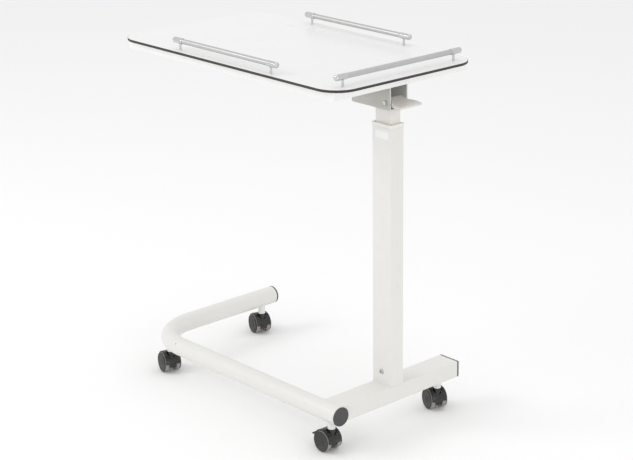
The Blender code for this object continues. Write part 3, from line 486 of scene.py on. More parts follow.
def ripple_tree():
    """Geometry Nodes that lay a shape along a mesh's edges at an even pitch, uneven in size by a seed."""
    tree = bpy.data.node_groups.new("shapes_along_a_path", "GeometryNodeTree")
    sockets = {}
    for label, kind in (
        ("Path", "NodeSocketGeometry"),
        ("Shape", "NodeSocketObject"),
        ("Pitch", "NodeSocketFloat"),
        ("Smallest", "NodeSocketFloat"),
        ("Seed", "NodeSocketInt"),
        ("Finish", "NodeSocketMaterial"),
    ):
        sockets[label] = tree.interface.new_socket(label, in_out="INPUT", socket_type=kind)
    tree.interface.new_socket("Mesh", in_out="OUTPUT", socket_type="NodeSocketGeometry")
    add = tree.nodes.new
    given, result = add("NodeGroupInput"), add("NodeGroupOutput")
    curve, even = add("GeometryNodeMeshToCurve"), add("GeometryNodeResampleCurve")
    even.mode = "LENGTH"
    shape, size = add("GeometryNodeObjectInfo"), add("FunctionNodeRandomValue")
    along, facing = add("GeometryNodeInputTangent"), add("FunctionNodeAlignRotationToVector")
    copies, solid = add("GeometryNodeInstanceOnPoints"), add("GeometryNodeRealizeInstances")
    coat = add("GeometryNodeSetMaterial")
    for start, end in (
        (given.outputs["Path"], curve.inputs["Mesh"]),
        (curve.outputs["Curve"], even.inputs["Curve"]),
        (given.outputs["Pitch"], even.inputs["Length"]),
        (even.outputs["Curve"], copies.inputs["Points"]),
        (given.outputs["Shape"], shape.inputs["Object"]),
        (shape.outputs["Geometry"], copies.inputs["Instance"]),
        (along.outputs["Tangent"], facing.inputs["Vector"]),
        (facing.outputs["Rotation"], copies.inputs["Rotation"]),
        (given.outputs["Smallest"], size.inputs[2]),
        (given.outputs["Seed"], size.inputs["Seed"]),
        (size.outputs[1], copies.inputs["Scale"]),
        (copies.outputs["Instances"], solid.inputs["Geometry"]),
        (solid.outputs["Geometry"], coat.inputs["Geometry"]),
        (given.outputs["Finish"], coat.inputs["Material"]),
        (coat.outputs["Geometry"], result.inputs["Mesh"]),
    ):
        tree.links.new(start, end)
    size.inputs[3].default_value = 1.0
    return tree, {label: socket.identifier for label, socket in sockets.items()}


along_path, path_inputs = ripple_tree()


def laid_along(paths, shape_mesh, pitch, material, smallest=1.0, seed=1):
    """A mesh of one shape laid along closed or open paths of points."""
    bm = bmesh.new()
    for points, is_loop in paths:
        corners = [bm.verts.new(p) for p in points]
        for first, second in zip(corners, corners[1:] + corners[:1] if is_loop else corners[1:]):
            bm.edges.new((first, second))
    line = bpy.data.meshes.new("path")
    bm.to_mesh(line)
    bm.free()
    guide, shape = added("path", line), added("shape", shape_mesh)
    modifier = guide.modifiers.new("laid_along", "NODES")
    modifier.node_group = along_path
    settings = {"Shape": shape, "Pitch": pitch, "Smallest": smallest, "Seed": seed, "Finish": material}
    for label, value in settings.items():
        modifier[path_inputs[label]] = value
    ready = guide.evaluated_get(bpy.context.evaluated_depsgraph_get())
    mesh = bpy.data.meshes.new_from_object(ready)
    guide.modifiers.clear()
    for helper in (guide, shape):
        bpy.data.objects.remove(helper)
    return mesh


def ripple(radius, length=0.8):
    """One ripple of a weld: a low-count ball, flattened along the bead."""
    bm = bmesh.new()
    bmesh.ops.create_uvsphere(bm, u_segments=10, v_segments=6, radius=radius)
    bmesh.ops.scale(bm, vec=(length, 1, 1), verts=bm.verts)
    return shaded(bm, 80)


def under_tube(at, offset):
    """The height of the round tube's underside at a caster, at an offset from its stem."""
    spot = Vector((at.x + offset.x, at.y + offset.y))
    to_bend = spot - bend_centre.xy
    if to_bend.x < 0 and to_bend.y < 0:
        away = abs(to_bend.length - TUBE_BEND_RADIUS)
    else:
        away = abs(spot.y - FRONT_Y) if to_bend.y < 0 else abs(spot.x - LEG_X)
    return AXIS_Z - math.sqrt(max(TUBE_RADIUS**2 - away**2, 0.0))


CASTERS = ("front_right", "front_left", "back_left", "back_right")
stem_at = {caster: Vector(joints[caster + "_swivel"]["pos_m"]) for caster in CASTERS}


def socket_top(caster, offset):
    """The height of the base's underside above a point of a caster socket."""
    return AXIS_Z - CROSS_HEIGHT / 2 if caster == "back_right" else under_tube(stem_at[caster], offset)


foot = rectangle(column_size.x - 0.0012, column_size.y + 0.0016, 0.003, column_low.z)
cope = [coped_end(p.x * 0.995, p.y * 1.01, TUBE_RADIUS) for p in outer_section]
weld_paths = [(moved(foot, COLUMN_X), True), (cope, True)]
for caster in CASTERS:
    collar = []
    for p in circle(SOCKET_RADIUS + 0.0004, 40):
        at = stem_at[caster]
        collar.append(Vector((at.x + p.x, at.y + p.y, socket_top(caster, p) - 0.0002)))
    weld_paths.append((collar, True))
welds = laid_along(weld_paths, ripple(BEAD_RADIUS), BEAD_PITCH, steel_coat, 0.78, 11)
piece("base_weld_beads", welds, None, "base", "powder_coat")

# ---- column: collar, foot bolt and gas spring ----------------------------------------------------
# The collar is a moulded guide bush pressed into the column's top, a shade warmer than the paint. The foot
# bolt is a plated button-head screw that holds the gas spring, whose own parts stay inside.
COLLAR_FILLET = 0.0012
SLIDE_CLEARANCE = 0.0004

collar_low, collar_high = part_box("column_collar")
mast_low, mast_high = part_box("mast_tube")
collar_size = collar_high - collar_low
mast_size = mast_high - mast_low
collar_seat = column_high.z + JOINT_GAP
collar_rings = []
bush_inset = (collar_size.x - column_size.x) / 2 + TUBE_WALL + JOINT_GAP
bore_inset = (collar_size.x - mast_size.x) / 2 - SLIDE_CLEARANCE
collar_outline = [
    (bore_inset - 0.0001, collar_low.z),
    (bush_inset + 0.0006, collar_low.z),
    (bush_inset, collar_low.z + 0.0012),
    (bush_inset, collar_seat),
    (0.0, collar_seat),
    (0.0, collar_high.z),
    (bore_inset, collar_high.z),
    (bore_inset, collar_low.z + 0.0004),
]
for inset, height in filleted(collar_outline, COLLAR_FILLET):
    corner = max(TUBE_CORNER + 0.0012 - 0.35 * inset, 0.0008)
    ring = rectangle(collar_size.x - 2 * inset, collar_size.y - 2 * inset, corner, height)
    collar_rings.append(moved(ring, COLUMN_X))
warm_moulding = moulded("off_white_acetal", (0.80, 0.77, 0.725), 0.38, 1100, 0.00003)
collar_bush = loft(collar_rings, closed=True)
piece("collar_bush", collar_bush, warm_moulding, "base", "collar_plastic", "column_collar")

bolt_low, bolt_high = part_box("foot_bolt")
bolt_at = (bolt_low + bolt_high) / 2
bolt_at.y = column_low.y - JOINT_GAP
HEAD_RADIUS = (bolt_high.x - bolt_low.x) / 2
HEAD_HEIGHT = bolt_at.y - bolt_low.y
KEY_RADIUS = 0.0027
FOOT_SHANK_RADIUS = 0.0039
FOOT_SHANK_LENGTH = 0.0405


def hexagon(radius, height, sides=48, across=0.0):
    """A ring of points on a hexagon whose flats are a radius out, its corners cut back to across if given."""
    points = []
    for p in circle(1.0, sides):
        a = math.atan2(p.y, p.x) % (math.pi / 3) - math.pi / 6
        reach = radius / math.cos(a)
        reach = min(reach, across) if across else reach
        points.append(Vector((p.x * reach, p.y * reach, height)))
    return points


head_arc = [(HEAD_RADIUS * math.cos(a), HEAD_HEIGHT * math.sin(a)) for a in (0.0, 0.3, 0.6, 0.9, 1.15)]
head_rings = [circle(0.0001, 48, 0.0), circle(HEAD_RADIUS, 48, 0.0)]
head_rings += [circle(r, 48, 0.0003 + z * 0.88) for r, z in head_arc]
head_rings += [hexagon(KEY_RADIUS + 0.0002, HEAD_HEIGHT * 0.86), hexagon(KEY_RADIUS, HEAD_HEIGHT * 0.80)]
head_rings += [hexagon(KEY_RADIUS, HEAD_HEIGHT * 0.25), circle(0.0001, 48, HEAD_HEIGHT * 0.2)]
shank_rings = [circle(FOOT_SHANK_RADIUS, 48, z) for z in (-FOOT_SHANK_LENGTH, -0.0001)]
button_bolt = aimed(joined([loft(head_rings), loft(shank_rings)]), bolt_at, (0, -1, 0))
piece("foot_button_bolt", button_bolt, bright_zinc, "base", "zinc", "foot_bolt")


def hard_chrome(name, rough=0.09):
    """Polished chrome with faint fingerprints."""
    chrome = Finish(name, metallic=1.0)
    smear = chrome.noise(160, 4.0, 0.65)
    tone = chrome.blend(smear, (0.66, 0.665, 0.67), (0.58, 0.585, 0.59))
    return chrome.wear(base_color=tone, roughness=rough + 0.1 * smear, normal=chrome.bump(smear, 0.00001))


bright_chrome = hard_chrome("polished_chrome")
spring_paint = moulded("black_spring_paint", (0.012, 0.012, 0.013), 0.18, 300, 0.00002)
for finish, nodes in (
    (spring_paint, ("gas_cylinder",)),
    (bright_chrome, ("gas_rod", "release_pin")),
    (warm_moulding, ("gas_piston", "rod_guide", "lower_bush")),
    (bright_zinc, ("release_head", "lever_pivot_nut")),
    (bright_zinc, tuple(f"{caster}_{part}" for caster in CASTERS for part in ("stem", "axle"))),
):
    for node in nodes:
        frame["nodes"][node].data.materials.clear()
        frame["nodes"][node].data.materials.append(finish)

# ---- mast and head bracket -----------------------------------------------------------------------
# The inner tube is a stock 50 x 30 mm section in the same coat, polished a little by the bush. The bracket
# on it is one 3 mm plate folded to a hat channel, its flanges screwed up against the tray.
BRACKET_PLATE = 0.003
BRACKET_HALF = 0.027
BEND_INSIDE = 0.002
SAWN_END = 0.0004

mast_rings = upright_tube(mast_low.z, mast_high.z, mast_size.x, mast_size.y, TUBE_WALL, TUBE_CORNER)
piece("inner_mast_tube", loft(mast_rings, closed=True), steel_coat, "mast", "powder_coat", "mast_tube")

bracket_low, bracket_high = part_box("head_bracket")
flange_half = bracket_high.y
half_outline = [
    (0.0, bracket_low.z),
    (BRACKET_HALF, bracket_low.z),
    (BRACKET_HALF, bracket_high.z - BRACKET_PLATE),
    (flange_half, bracket_high.z - BRACKET_PLATE),
    (flange_half, bracket_high.z),
    (BRACKET_HALF - BRACKET_PLATE, bracket_high.z),
    (BRACKET_HALF - BRACKET_PLATE, bracket_low.z + BRACKET_PLATE),
    (0.0, bracket_low.z + BRACKET_PLATE),
]
half_section = filleted(half_outline, BEND_INSIDE, 6)
section = half_section + [Vector((-p.x, p.y)) for p in reversed(half_section[1:-1])]
bracket_rings = []
for x in (bracket_low.x, bracket_low.x + SAWN_END, bracket_high.x - SAWN_END, bracket_high.x):
    bracket_rings.append([Vector((x, p.x, p.y)) for p in section])
# The bracket's coat is a darker, warmer copy of the steel coat, with more scuffs: the darker colour is
# painted shade for the shadow it sits in under the tray.
bracket_coat_painted_shade = powder_coat("bracket_powder_coat", (0.70, 0.685, 0.64), 0.7)
channel = loft(bracket_rings)
bracket = piece("folded_head_bracket", channel, bracket_coat_painted_shade, "mast", "powder_coat", "head_bracket")
softened(bracket, "deburred", 0.0004, 60)

mast_foot = rectangle(mast_size.x + 0.0010, mast_size.y + 0.0010, 0.0035, mast_high.z - 0.0004)
mast_path = [(moved(mast_foot, COLUMN_X), True)]
mast_weld = laid_along(mast_path, ripple(0.0012), 0.0013, steel_coat, 0.8, 5)
piece("mast_weld_bead", mast_weld, None, "mast", "powder_coat")

# ---- release lever and its pivot bolt ------------------------------------------------------------
# A glass-filled nylon moulding, beige-grey and satin, worn smoother at the lip that fingers pull. It turns
# on a plated hexagon bolt, and its short nose pushes the gas spring's pin.
LEVER_SECTIONS = (
    (-0.0234, 0.0060, -0.0040, 0.0035),
    (-0.0105, 0.0060, -0.0040, 0.0055),
    (-0.0092, 0.0225, -0.0032, 0.0060),
    (-0.0048, 0.0225, -0.0083, 0.0083),
    (0.0000, 0.0225, -0.0095, 0.0095),
    (0.0057, 0.0225, -0.0094, 0.0076),
    (0.0146, 0.0225, -0.0093, 0.0045),
    (0.0236, 0.0265, -0.0084, 0.0030),
    (0.0316, 0.0320, -0.0066, 0.0016),
    (0.0376, 0.0340, -0.0065, 0.0008),
    (0.0491, 0.0340, -0.0065, -0.0005),
    (0.0531, 0.0326, -0.0053, -0.0017),
)
LEVER_EDGE = 0.0019
PIVOT_BORE = 0.0034
PIVOT_SHANK = 0.0029
WASHER_RADIUS = 0.0056
WASHER_THICKNESS = 0.0007
PIVOT_FLATS = 0.0049

pivot = Vector(joints["release_lever_hinge"]["pos_m"])


def eased(rows, share):
    """Values between rows of numbers, on a smooth curve through them. Share runs from 0 to the last row."""
    i = min(int(share), len(rows) - 2)
    t = share - i
    before, here = rows[max(i - 1, 0)], rows[i]
    there, after = rows[i + 1], rows[min(i + 2, len(rows) - 1)]
    values = []
    for a, b, c, d in zip(before, here, there, after):
        pull = 0.5 * ((c - a) * t + (2 * a - 5 * b + 4 * c - d) * t**2 + (3 * b - a - 3 * c + d) * t**3)
        values.append(min(max(b + pull, min(b, c)), max(b, c)))
    return values


lever_rings = []
steps = 5
for i in range((len(LEVER_SECTIONS) - 1) * steps + 1):
    x, half, low, high = eased(LEVER_SECTIONS, i / steps)
    corner = min(LEVER_EDGE, 0.47 * (high - low))
    ring = rectangle(2 * half, high - low, corner, 0, 5)
    lever_rings.append([pivot + Vector((x, p.x, p.y + (low + high) / 2)) for p in ring])
for at, ring in ((0, lever_rings[0]), (len(lever_rings) + 1, lever_rings[-1])):
    middle = sum(ring, Vector()) / len(ring)
    lever_rings.insert(at, [middle + 0.9 * (p - middle) for p in ring])
satin_nylon = Finish("beige_grey_nylon", ior=1.52)
lever_place = satin_nylon.node("ShaderNodeSeparateXYZ", None, {0: satin_nylon.place}, out="X")
grip = satin_nylon.ramp((lever_place - pivot.x) * 18, 0.62, 0.96)
nylon_grain = satin_nylon.noise(1300, 3.0, 0.6)
nylon_flow = satin_nylon.noise(60, 3.0, 0.6, seed=1.0)
nylon_tone = satin_nylon.blend(nylon_flow, (0.70, 0.665, 0.63), (0.64, 0.605, 0.57))
nylon_tone = satin_nylon.blend(grip * 0.35, nylon_tone, (0.76, 0.73, 0.70))
satin_nylon.wear(base_color=nylon_tone, roughness=0.46 + 0.1 * nylon_flow - 0.16 * grip)
satin_nylon.wear(normal=satin_nylon.bump(nylon_grain, 0.00005))
paddle, nylon = loft(lever_rings), satin_nylon.material
lever = piece("moulded_release_lever", paddle, nylon, "lever", "lever_plastic", "release_lever")


def cylinder(radius, low, high, sides=72):
    return lathe([(radius, low), (radius, high)], sides)


def drilled(target, *cutters):
    """The piece's mesh with shapes cut out of it for good; the cutters are removed."""
    for tool in cutters:
        hole = target.modifiers.new(tool.name, "BOOLEAN")
        hole.operation = "DIFFERENCE"
        hole.solver = "EXACT"
        hole.object = tool
    ready = target.evaluated_get(bpy.context.evaluated_depsgraph_get())
    cut_mesh = bpy.data.meshes.new_from_object(ready)
    for modifier in [m for m in target.modifiers if m.type == "BOOLEAN"]:
        target.modifiers.remove(modifier)
    target.data = cut_mesh
    for tool in cutters:
        bpy.data.objects.remove(tool)


drilled(lever, added("pivot_bore", aimed(cylinder(PIVOT_BORE, -0.04, 0.04, 40), pivot, (0, 1, 0))))

bolt_low, bolt_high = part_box("lever_pivot_bolt")
PLATE_FACE = bracket_low.y + flange_half + BRACKET_HALF + JOINT_GAP
pivot_head = -bolt_low.y - PLATE_FACE
bolt_rings = [
    circle(PIVOT_SHANK, 48, -bolt_high.y - PLATE_FACE),
    circle(PIVOT_SHANK, 48, 0.0),
    circle(WASHER_RADIUS, 48, 0.0),
    circle(WASHER_RADIUS, 48, WASHER_THICKNESS),
    hexagon(PIVOT_FLATS, WASHER_THICKNESS),
    hexagon(PIVOT_FLATS, pivot_head - 0.0007),
    hexagon(PIVOT_FLATS, pivot_head - 0.0002, across=0.0053),
    hexagon(PIVOT_FLATS, pivot_head, across=0.0048),
    circle(0.0030, 48, pivot_head - 0.0002),
]
pivot_bolt = aimed(loft(bolt_rings), Vector((pivot.x, -PLATE_FACE, pivot.z)), (0, -1, 0))
piece("hexagon_pivot_bolt", pivot_bolt, bright_zinc, "mast", "zinc", "lever_pivot_bolt")

# ---- top: tray -----------------------------------------------------------------------------------
# A pan folded from 1.5 mm sheet, its corners welded and dressed, open below. Pan-head screws go up through
# it into the board, and four go through the bracket's flanges.
TRAY_SHEET = 0.0015
TRAY_FOLD = 0.0022
TRAY_RIM = 0.012
SCREW_RADIUS = 0.0042

tray_low, tray_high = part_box("support_tray")
tray_size = tray_high - tray_low
tray_middle = (tray_low + tray_high) / 2
ceiling = tray_high.z - TRAY_SHEET
outer_outline = [(0.0, tray_low.z), (0.0, tray_high.z), (TRAY_RIM, tray_high.z)]
inner_outline = [(TRAY_RIM, ceiling), (TRAY_SHEET, ceiling), (TRAY_SHEET, tray_low.z)]
walls = filleted(inner_outline, TRAY_FOLD - TRAY_SHEET, 4) + filleted(outer_outline, TRAY_FOLD, 6)
tray_rings = []
for inset, height in walls:
    corner = max(0.0024 - 0.4 * inset, 0.0008)
    ring = rectangle(tray_size.x - 2 * inset, tray_size.y - 2 * inset, corner, height)
    tray_rings.append(moved(ring, *tray_middle.xy))
white_coat = powder_coat("white_powder_coat", (0.90, 0.90, 0.893))
piece("folded_tray", loft(tray_rings), white_coat, "mast", "powder_coat", "support_tray")

screw_outline = [
    (0.0, -0.0003),
    (SCREW_RADIUS, -0.0003),
    (SCREW_RADIUS, 0.0012),
    (0.0012, 0.0026),
    (0.0, 0.0014),
]
screw_profile = filleted(screw_outline, 0.0006, 3)
flange_z = bracket_high.z - BRACKET_PLATE
for screws, start, end, half, height, pitch in (
    ("tray_screws", tray_low.x + 0.06, tray_high.x - 0.05, 0.16, ceiling, 0.2),
    ("flange_screws", bracket_low.x + 0.018, bracket_high.x - 0.018, BRACKET_HALF + 0.012, flange_z, 0.085),
):
    runs = []
    for y in (-half, half):
        runs.append(([Vector((start, y, height)), Vector((end, y, height))], False))
    screw_head = lathe(screw_profile, 20)
    screw_head.transform(Matrix.Rotation(math.pi, 4, "X"))
    piece(screws, laid_along(runs, screw_head, pitch, bright_zinc), None, "mast", "zinc")

# ---- top: board ----------------------------------------------------------------------------------
# Compact laminate, 6 mm thick: many layers of brown kraft paper under a white sheet on each face. The edge
# is milled, with a fine chamfer that shows the dark core.
BOARD_CORNER = 0.058
BOARD_CHAMFER = 0.0007

board_low, board_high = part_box("table_board")
board_size = board_high - board_low
board_middle = (board_low + board_high) / 2

white_sheet = Finish("white_laminate", ior=1.5, coat_roughness=0.18)
sheet_grain = white_sheet.noise(700, 3.0, 0.6)
sheet_smear = white_sheet.noise(9, 4.0, 0.6, seed=6.0)
sheet_tone = white_sheet.blend(sheet_smear, (0.845, 0.845, 0.848), (0.82, 0.82, 0.82))
white_sheet.wear(base_color=sheet_tone, roughness=0.22 + 0.1 * sheet_smear + 0.05 * sheet_grain)
white_sheet.wear(normal=white_sheet.bump(sheet_grain, 0.000025), coat_weight=0.25 + 0.15 * sheet_smear)

dark_core = Finish("dark_laminate_core", ior=1.5)
core_layers = dark_core.noise(1500, 3.0, 0.7, (0.02, 0.02, 1.0))
core_chatter = dark_core.noise(500, 2.0, 0.5, (1, 1, 0.05), 8.0)
core_tone = dark_core.blend(core_layers, (0.022, 0.017, 0.015), (0.060, 0.046, 0.040))
dark_core.wear(base_color=core_tone, roughness=0.42 + 0.16 * core_layers)
dark_core.wear(normal=dark_core.bump(core_layers + core_chatter, 0.00004))

board_rings = []
for inset, height in (
    (BOARD_CHAMFER, board_low.z),
    (0.0, board_low.z + BOARD_CHAMFER),
    (0.0, board_high.z - BOARD_CHAMFER),
    (BOARD_CHAMFER * 0.3, board_high.z - BOARD_CHAMFER * 0.3),
    (BOARD_CHAMFER, board_high.z),
):
    ring = rectangle(board_size.x - 2 * inset, board_size.y - 2 * inset, BOARD_CORNER - inset, height, 22)
    board_rings.append(moved(ring, *board_middle.xy))
board_mesh = loft(board_rings, smooth_angle=20)
piece("laminate_board", board_mesh, white_sheet.material, "mast", "laminate", "table_board")
board_mesh.materials.append(dark_core.material)
for face in board_mesh.polygons:
    face.material_index = 0 if abs(face.normal.z) > 0.99 else 1

# ---- top: gallery rails --------------------------------------------------------------------------
# Three rails of satin anodised tube, each held by two chromed castings: a sleeve with a domed end over the
# tube, and a thin post screwed to the board from below, on a small round foot.
RAIL_RADIUS = 0.006
SLEEVE_RADIUS = 0.0069
SLEEVE_LENGTH = 0.033
POST_RADIUS = 0.0028
POST_FOOT = 0.0034
POST_INSET = 0.0225
RAIL_WALL = 0.001

anodised = Finish("satin_anodised_aluminium", metallic=1.0, anisotropic=0.3)
along_x = anodised.noise(900, 3.0, 0.6, (0.05, 1.0, 1.0))
along_y = anodised.noise(900, 3.0, 0.6, (1.0, 0.05, 1.0))
draw_marks = along_x * 0.5 + along_y * 0.5
rail_tone = anodised.blend(anodised.noise(40, 2.0, seed=3.0), (0.60, 0.60, 0.59), (0.54, 0.54, 0.535))
anodised.wear(base_color=rail_tone, roughness=0.3 + 0.12 * draw_marks)
anodised.wear(normal=anodised.bump(draw_marks, 0.00002))

sleeve_outline = [
    (0.0, 0.0),
    (0.0030, 0.0),
    (0.0056, 0.0012),
    (SLEEVE_RADIUS, 0.0040),
    (SLEEVE_RADIUS, SLEEVE_LENGTH - 0.0015),
    (SLEEVE_RADIUS - 0.0004, SLEEVE_LENGTH),
    (RAIL_RADIUS + JOINT_GAP, SLEEVE_LENGTH),
    (RAIL_RADIUS + JOINT_GAP, 0.005),
    (0.0, 0.005),
]
sleeve_profile = filleted(sleeve_outline, 0.0022, 5)
for rail, span in (
    ("front", Vector((1, 0, 0))),
    ("back", Vector((1, 0, 0))),
    ("end", Vector((0, 1, 0))),
):
    rail_low, rail_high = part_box(f"{rail}_rail")
    rail_middle = (rail_low + rail_high) / 2
    half = (rail_high - rail_low).dot(span) / 2
    tube_section = [
        (RAIL_RADIUS - 0.0003, -half),
        (RAIL_RADIUS, 0.0003 - half),
        (RAIL_RADIUS, half - 0.0003),
        (RAIL_RADIUS - 0.0003, half),
        (RAIL_RADIUS - RAIL_WALL, half),
        (RAIL_RADIUS - RAIL_WALL, -half),
    ]
    tube = aimed(lathe(tube_section, 48, closed=True), rail_middle, span)
    piece(f"{rail}_gallery_tube", tube, anodised.material, "mast", "rail_aluminium", f"{rail}_rail")
    for label, way in (("a", -1), ("b", 1)):
        node = f"{rail}_rail_end_{label}"
        reach = max(abs((corner - rail_middle).dot(span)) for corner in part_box(node))
        tip = rail_middle + span * way * reach
        sleeve = aimed(lathe(sleeve_profile, 48), tip, -way * span)
        foot_z = board_high.z - 0.0005
        post_height = rail_middle.z - RAIL_RADIUS - 0.0004 - foot_z
        post_outline = [
            (0.0, 0.0),
            (POST_FOOT, 0.0),
            (POST_FOOT, 0.0009),
            (POST_RADIUS, 0.0015),
            (POST_RADIUS, post_height - 0.0015),
            (POST_FOOT, post_height - 0.0001),
            (POST_FOOT, post_height),
            (0.0, post_height),
        ]
        post_at = tip - span * way * POST_INSET
        post_at.z = foot_z
        post = aimed(lathe(filleted(post_outline, 0.0006, 3), 32), post_at)
        casting = joined([sleeve, post])
        piece(f"{rail}_rail_casting_{label}", casting, bright_chrome, "mast", "chrome", node)

# ---- casters: sockets ----------------------------------------------------------------------------
# Turned steel bosses, saddled to the tubes, welded and coated with the base. Each holds a caster's stem by
# a spring ring.
STEM_BORE = 0.0053
BOSS_CHAMFER = 0.0008

socket_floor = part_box("front_right_socket")[0].z
boss_outline = (
    (STEM_BORE, 0.0),
    (SOCKET_RADIUS - BOSS_CHAMFER, 0.0),
    (SOCKET_RADIUS, BOSS_CHAMFER),
    (SOCKET_RADIUS, None),
    (STEM_BORE, None),
)
for caster in CASTERS:
    boss_rings = []
    for radius, rise in boss_outline:
        ring = []
        for p in circle(radius, 56):
            top = socket_top(caster, p) - JOINT_GAP
            height = top if rise is None else socket_floor + rise
            ring.append(Vector((stem_at[caster].x + p.x, stem_at[caster].y + p.y, height)))
        boss_rings.append(ring)
    boss = loft(boss_rings, closed=True)
    piece(f"{caster}_turned_boss", boss, steel_coat, "base", "powder_coat", f"{caster}_socket")

# ---- casters: hoods ------------------------------------------------------------------------------
# Black glass-filled nylon, semi-gloss: a barrel over two wheels with a web between them. A neck round the
# stem stands in a well in its crown, and the nose ends at the axle's height over a hollow. Edges have the
# mould's small radii.
HOOD_THICKNESS = 0.0022
WHEEL_CLEARANCE = 0.001
NOSE_BULGE = 0.002
WEB_HALF = 0.0088
HOOD_EDGE = 0.0018
WELL_RADIUS = 0.0106
WELL_DEPTH = 0.0092
NECK_RADIUS = 0.0078
NECK_RISE = 0.005
HOOD_LIFT = math.radians(1)
HOOD_HEEL = math.radians(172)
HOOD_FOOT = 0.0078
MOUTH_HEIGHT = 0.0085
AXLE_BORE = 0.0028
TAB_ROOM = Vector((0.0542, 0.0144, 0.0323))
TAB_HINGE = Vector((-0.018, 0, 0.008))

wheel_low, wheel_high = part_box("front_right_wheel_front")
WHEEL_RADIUS = (wheel_high.z - wheel_low.z) / 2
WHEEL_WIDTH = 0.0125
WHEEL_INNER = 0.0097
HOOD_HALF = WHEEL_INNER + WHEEL_WIDTH - 0.0035
TRAIL = 0.013
POCKET_RADIUS = WHEEL_RADIUS + WHEEL_CLEARANCE
axle_at = Vector((-TRAIL, 0, WHEEL_RADIUS))
hood_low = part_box("front_right_hood")[0].z


def swivelled(mesh, caster):
    """A mesh in a caster's own axes, put in its place and turned as the caster stands."""
    axle = joints[f"{caster}_front_wheel_spin"]["axis"]
    turn = math.atan2(-axle[0], axle[1])
    at = stem_at[caster]
    mesh.transform(Matrix.Translation((at.x, at.y, 0)) @ Matrix.Rotation(turn, 4, "Z"))
    return mesh


def hood_ring(y, inset, bulge):
    """A hood's outline at one place across it."""
    radius = POCKET_RADIUS + HOOD_THICKNESS - inset
    points = [(HOOD_FOOT, hood_low), (HOOD_FOOT + 0.0006, hood_low + MOUTH_HEIGHT)]
    arc = 44
    for i in range(arc + 1):
        a = HOOD_LIFT + (HOOD_HEEL - HOOD_LIFT) * i / arc
        forward = bulge * max(0.0, math.cos(a))
        points.append((axle_at.x + radius * math.cos(a) + forward, axle_at.z + radius * math.sin(a)))
    points.append((axle_at.x - 0.008, hood_low + 0.002))
    return [Vector((x, y, z)) for x, z in points]


def hood_shell():
    """The solid outer form of a hood, barrel-shaped, with rounded sides."""
    stations = [(share, 0.0) for share in (0.0, 0.2, 0.4, 0.6, 0.75)]
    for i in range(1, 8):
        a = math.pi / 2 * i / 7
        setback = HOOD_EDGE * (1 - math.sin(a))
        stations.append(((HOOD_HALF - setback) / HOOD_HALF, HOOD_EDGE * 0.8 * (1 - math.cos(a))))
    both = [(-share, inset) for share, inset in reversed(stations) if share] + stations
    rings = [hood_ring(share * HOOD_HALF, inset, NOSE_BULGE * (1 - share**2)) for share, inset in both]
    return loft(rings, smooth_angle=40)


hood_nylon = moulded("black_hood_nylon", (0.010, 0.0105, 0.0115), 0.20, 900, 0.00002, dust=0.2)
for caster in CASTERS:
    body = f"{caster}_caster"
    hood = piece(f"{caster}_moulded_hood", hood_shell(), hood_nylon, body, "caster_nylon", f"{caster}_hood")
    well_floor = 2 * WHEEL_RADIUS - WELL_DEPTH
    cutters = [added("well", cylinder(WELL_RADIUS, well_floor, 0.08))]
    cutters.append(added("stem_bore", cylinder(STEM_BORE + 0.0001, 0.0, 0.05, 48)))
    for side in (-1, 1):
        low, high = sorted((side * WEB_HALF, side * 0.05))
        pocket = aimed(cylinder(POCKET_RADIUS, low, high, 96), axle_at, (0, 1, 0))
        cutters.append(added("pocket", pocket))
    cutters.append(added("axle_bore", aimed(cylinder(AXLE_BORE, -0.02, 0.02, 40), axle_at, (0, 1, 0))))
    if f"{caster}_brake_hinge" in joints:
        room = bmesh.new()
        bmesh.ops.create_cube(room, size=1.0)
        bmesh.ops.scale(room, vec=TAB_ROOM, verts=room.verts)
        room_at = axle_at + TAB_HINGE - Vector((0.0229, 0, 0.00865))
        bmesh.ops.translate(room, vec=room_at, verts=room.verts)
        cutters.append(added("tab_room", shaded(room)))
    drilled(hood, *cutters)
    foot, top = well_floor - 0.0005, 2 * WHEEL_RADIUS + NECK_RISE
    neck_outline = [
        (STEM_BORE + 0.0001, foot),
        (NECK_RADIUS + 0.0014, foot),
        (NECK_RADIUS, foot + 0.0022),
        (NECK_RADIUS, top - 0.0006),
        (NECK_RADIUS - 0.0006, top),
        (STEM_BORE + 0.0001, top),
    ]
    hood.data = joined([hood.data, lathe(neck_outline, 56, closed=True)])
    hood.data.materials.append(hood_nylon)
    swivelled(hood.data, caster)
    softened(hood, "mould_radii", 0.0003, 50)

# ---- casters: wheels -----------------------------------------------------------------------------
# Each wheel is a black nylon disc and hub with a grey rubber tread moulded round it. The disc is dished,
# with a raised rim and a boss over the axle's end.
TREAD_END = 0.0098
TREAD_BORE = 0.0170
HUB_BORE = 0.0029

disc_nylon = moulded("black_disc_nylon", (0.016, 0.016, 0.0165), 0.46, 700, 0.00005, dust=0.2)
tread_rubber = moulded("grey_tread_rubber", (0.30, 0.275, 0.255), 0.6, 500, 0.00008, dust=0.4)
tread_outline = [
    (TREAD_BORE, 0.0002),
    (WHEEL_RADIUS - 0.0004, 0.0002),
    (WHEEL_RADIUS, 0.0016),
    (WHEEL_RADIUS, TREAD_END),
    (TREAD_BORE, TREAD_END),
    (TREAD_BORE, 0.0003),
]
tread_profile = filleted(tread_outline, 0.0012)
hub_outline = [
    (HUB_BORE, 0.0004),
    (TREAD_BORE - 0.0004, 0.0008),
    (TREAD_BORE - 0.0004, TREAD_END - 0.0004),
    (HUB_BORE, TREAD_END - 0.0008),
    (HUB_BORE, 0.0005),
]
hub_profile = filleted(hub_outline, 0.0006, 3)
rim, face = WHEEL_RADIUS - 0.0006, WHEEL_WIDTH
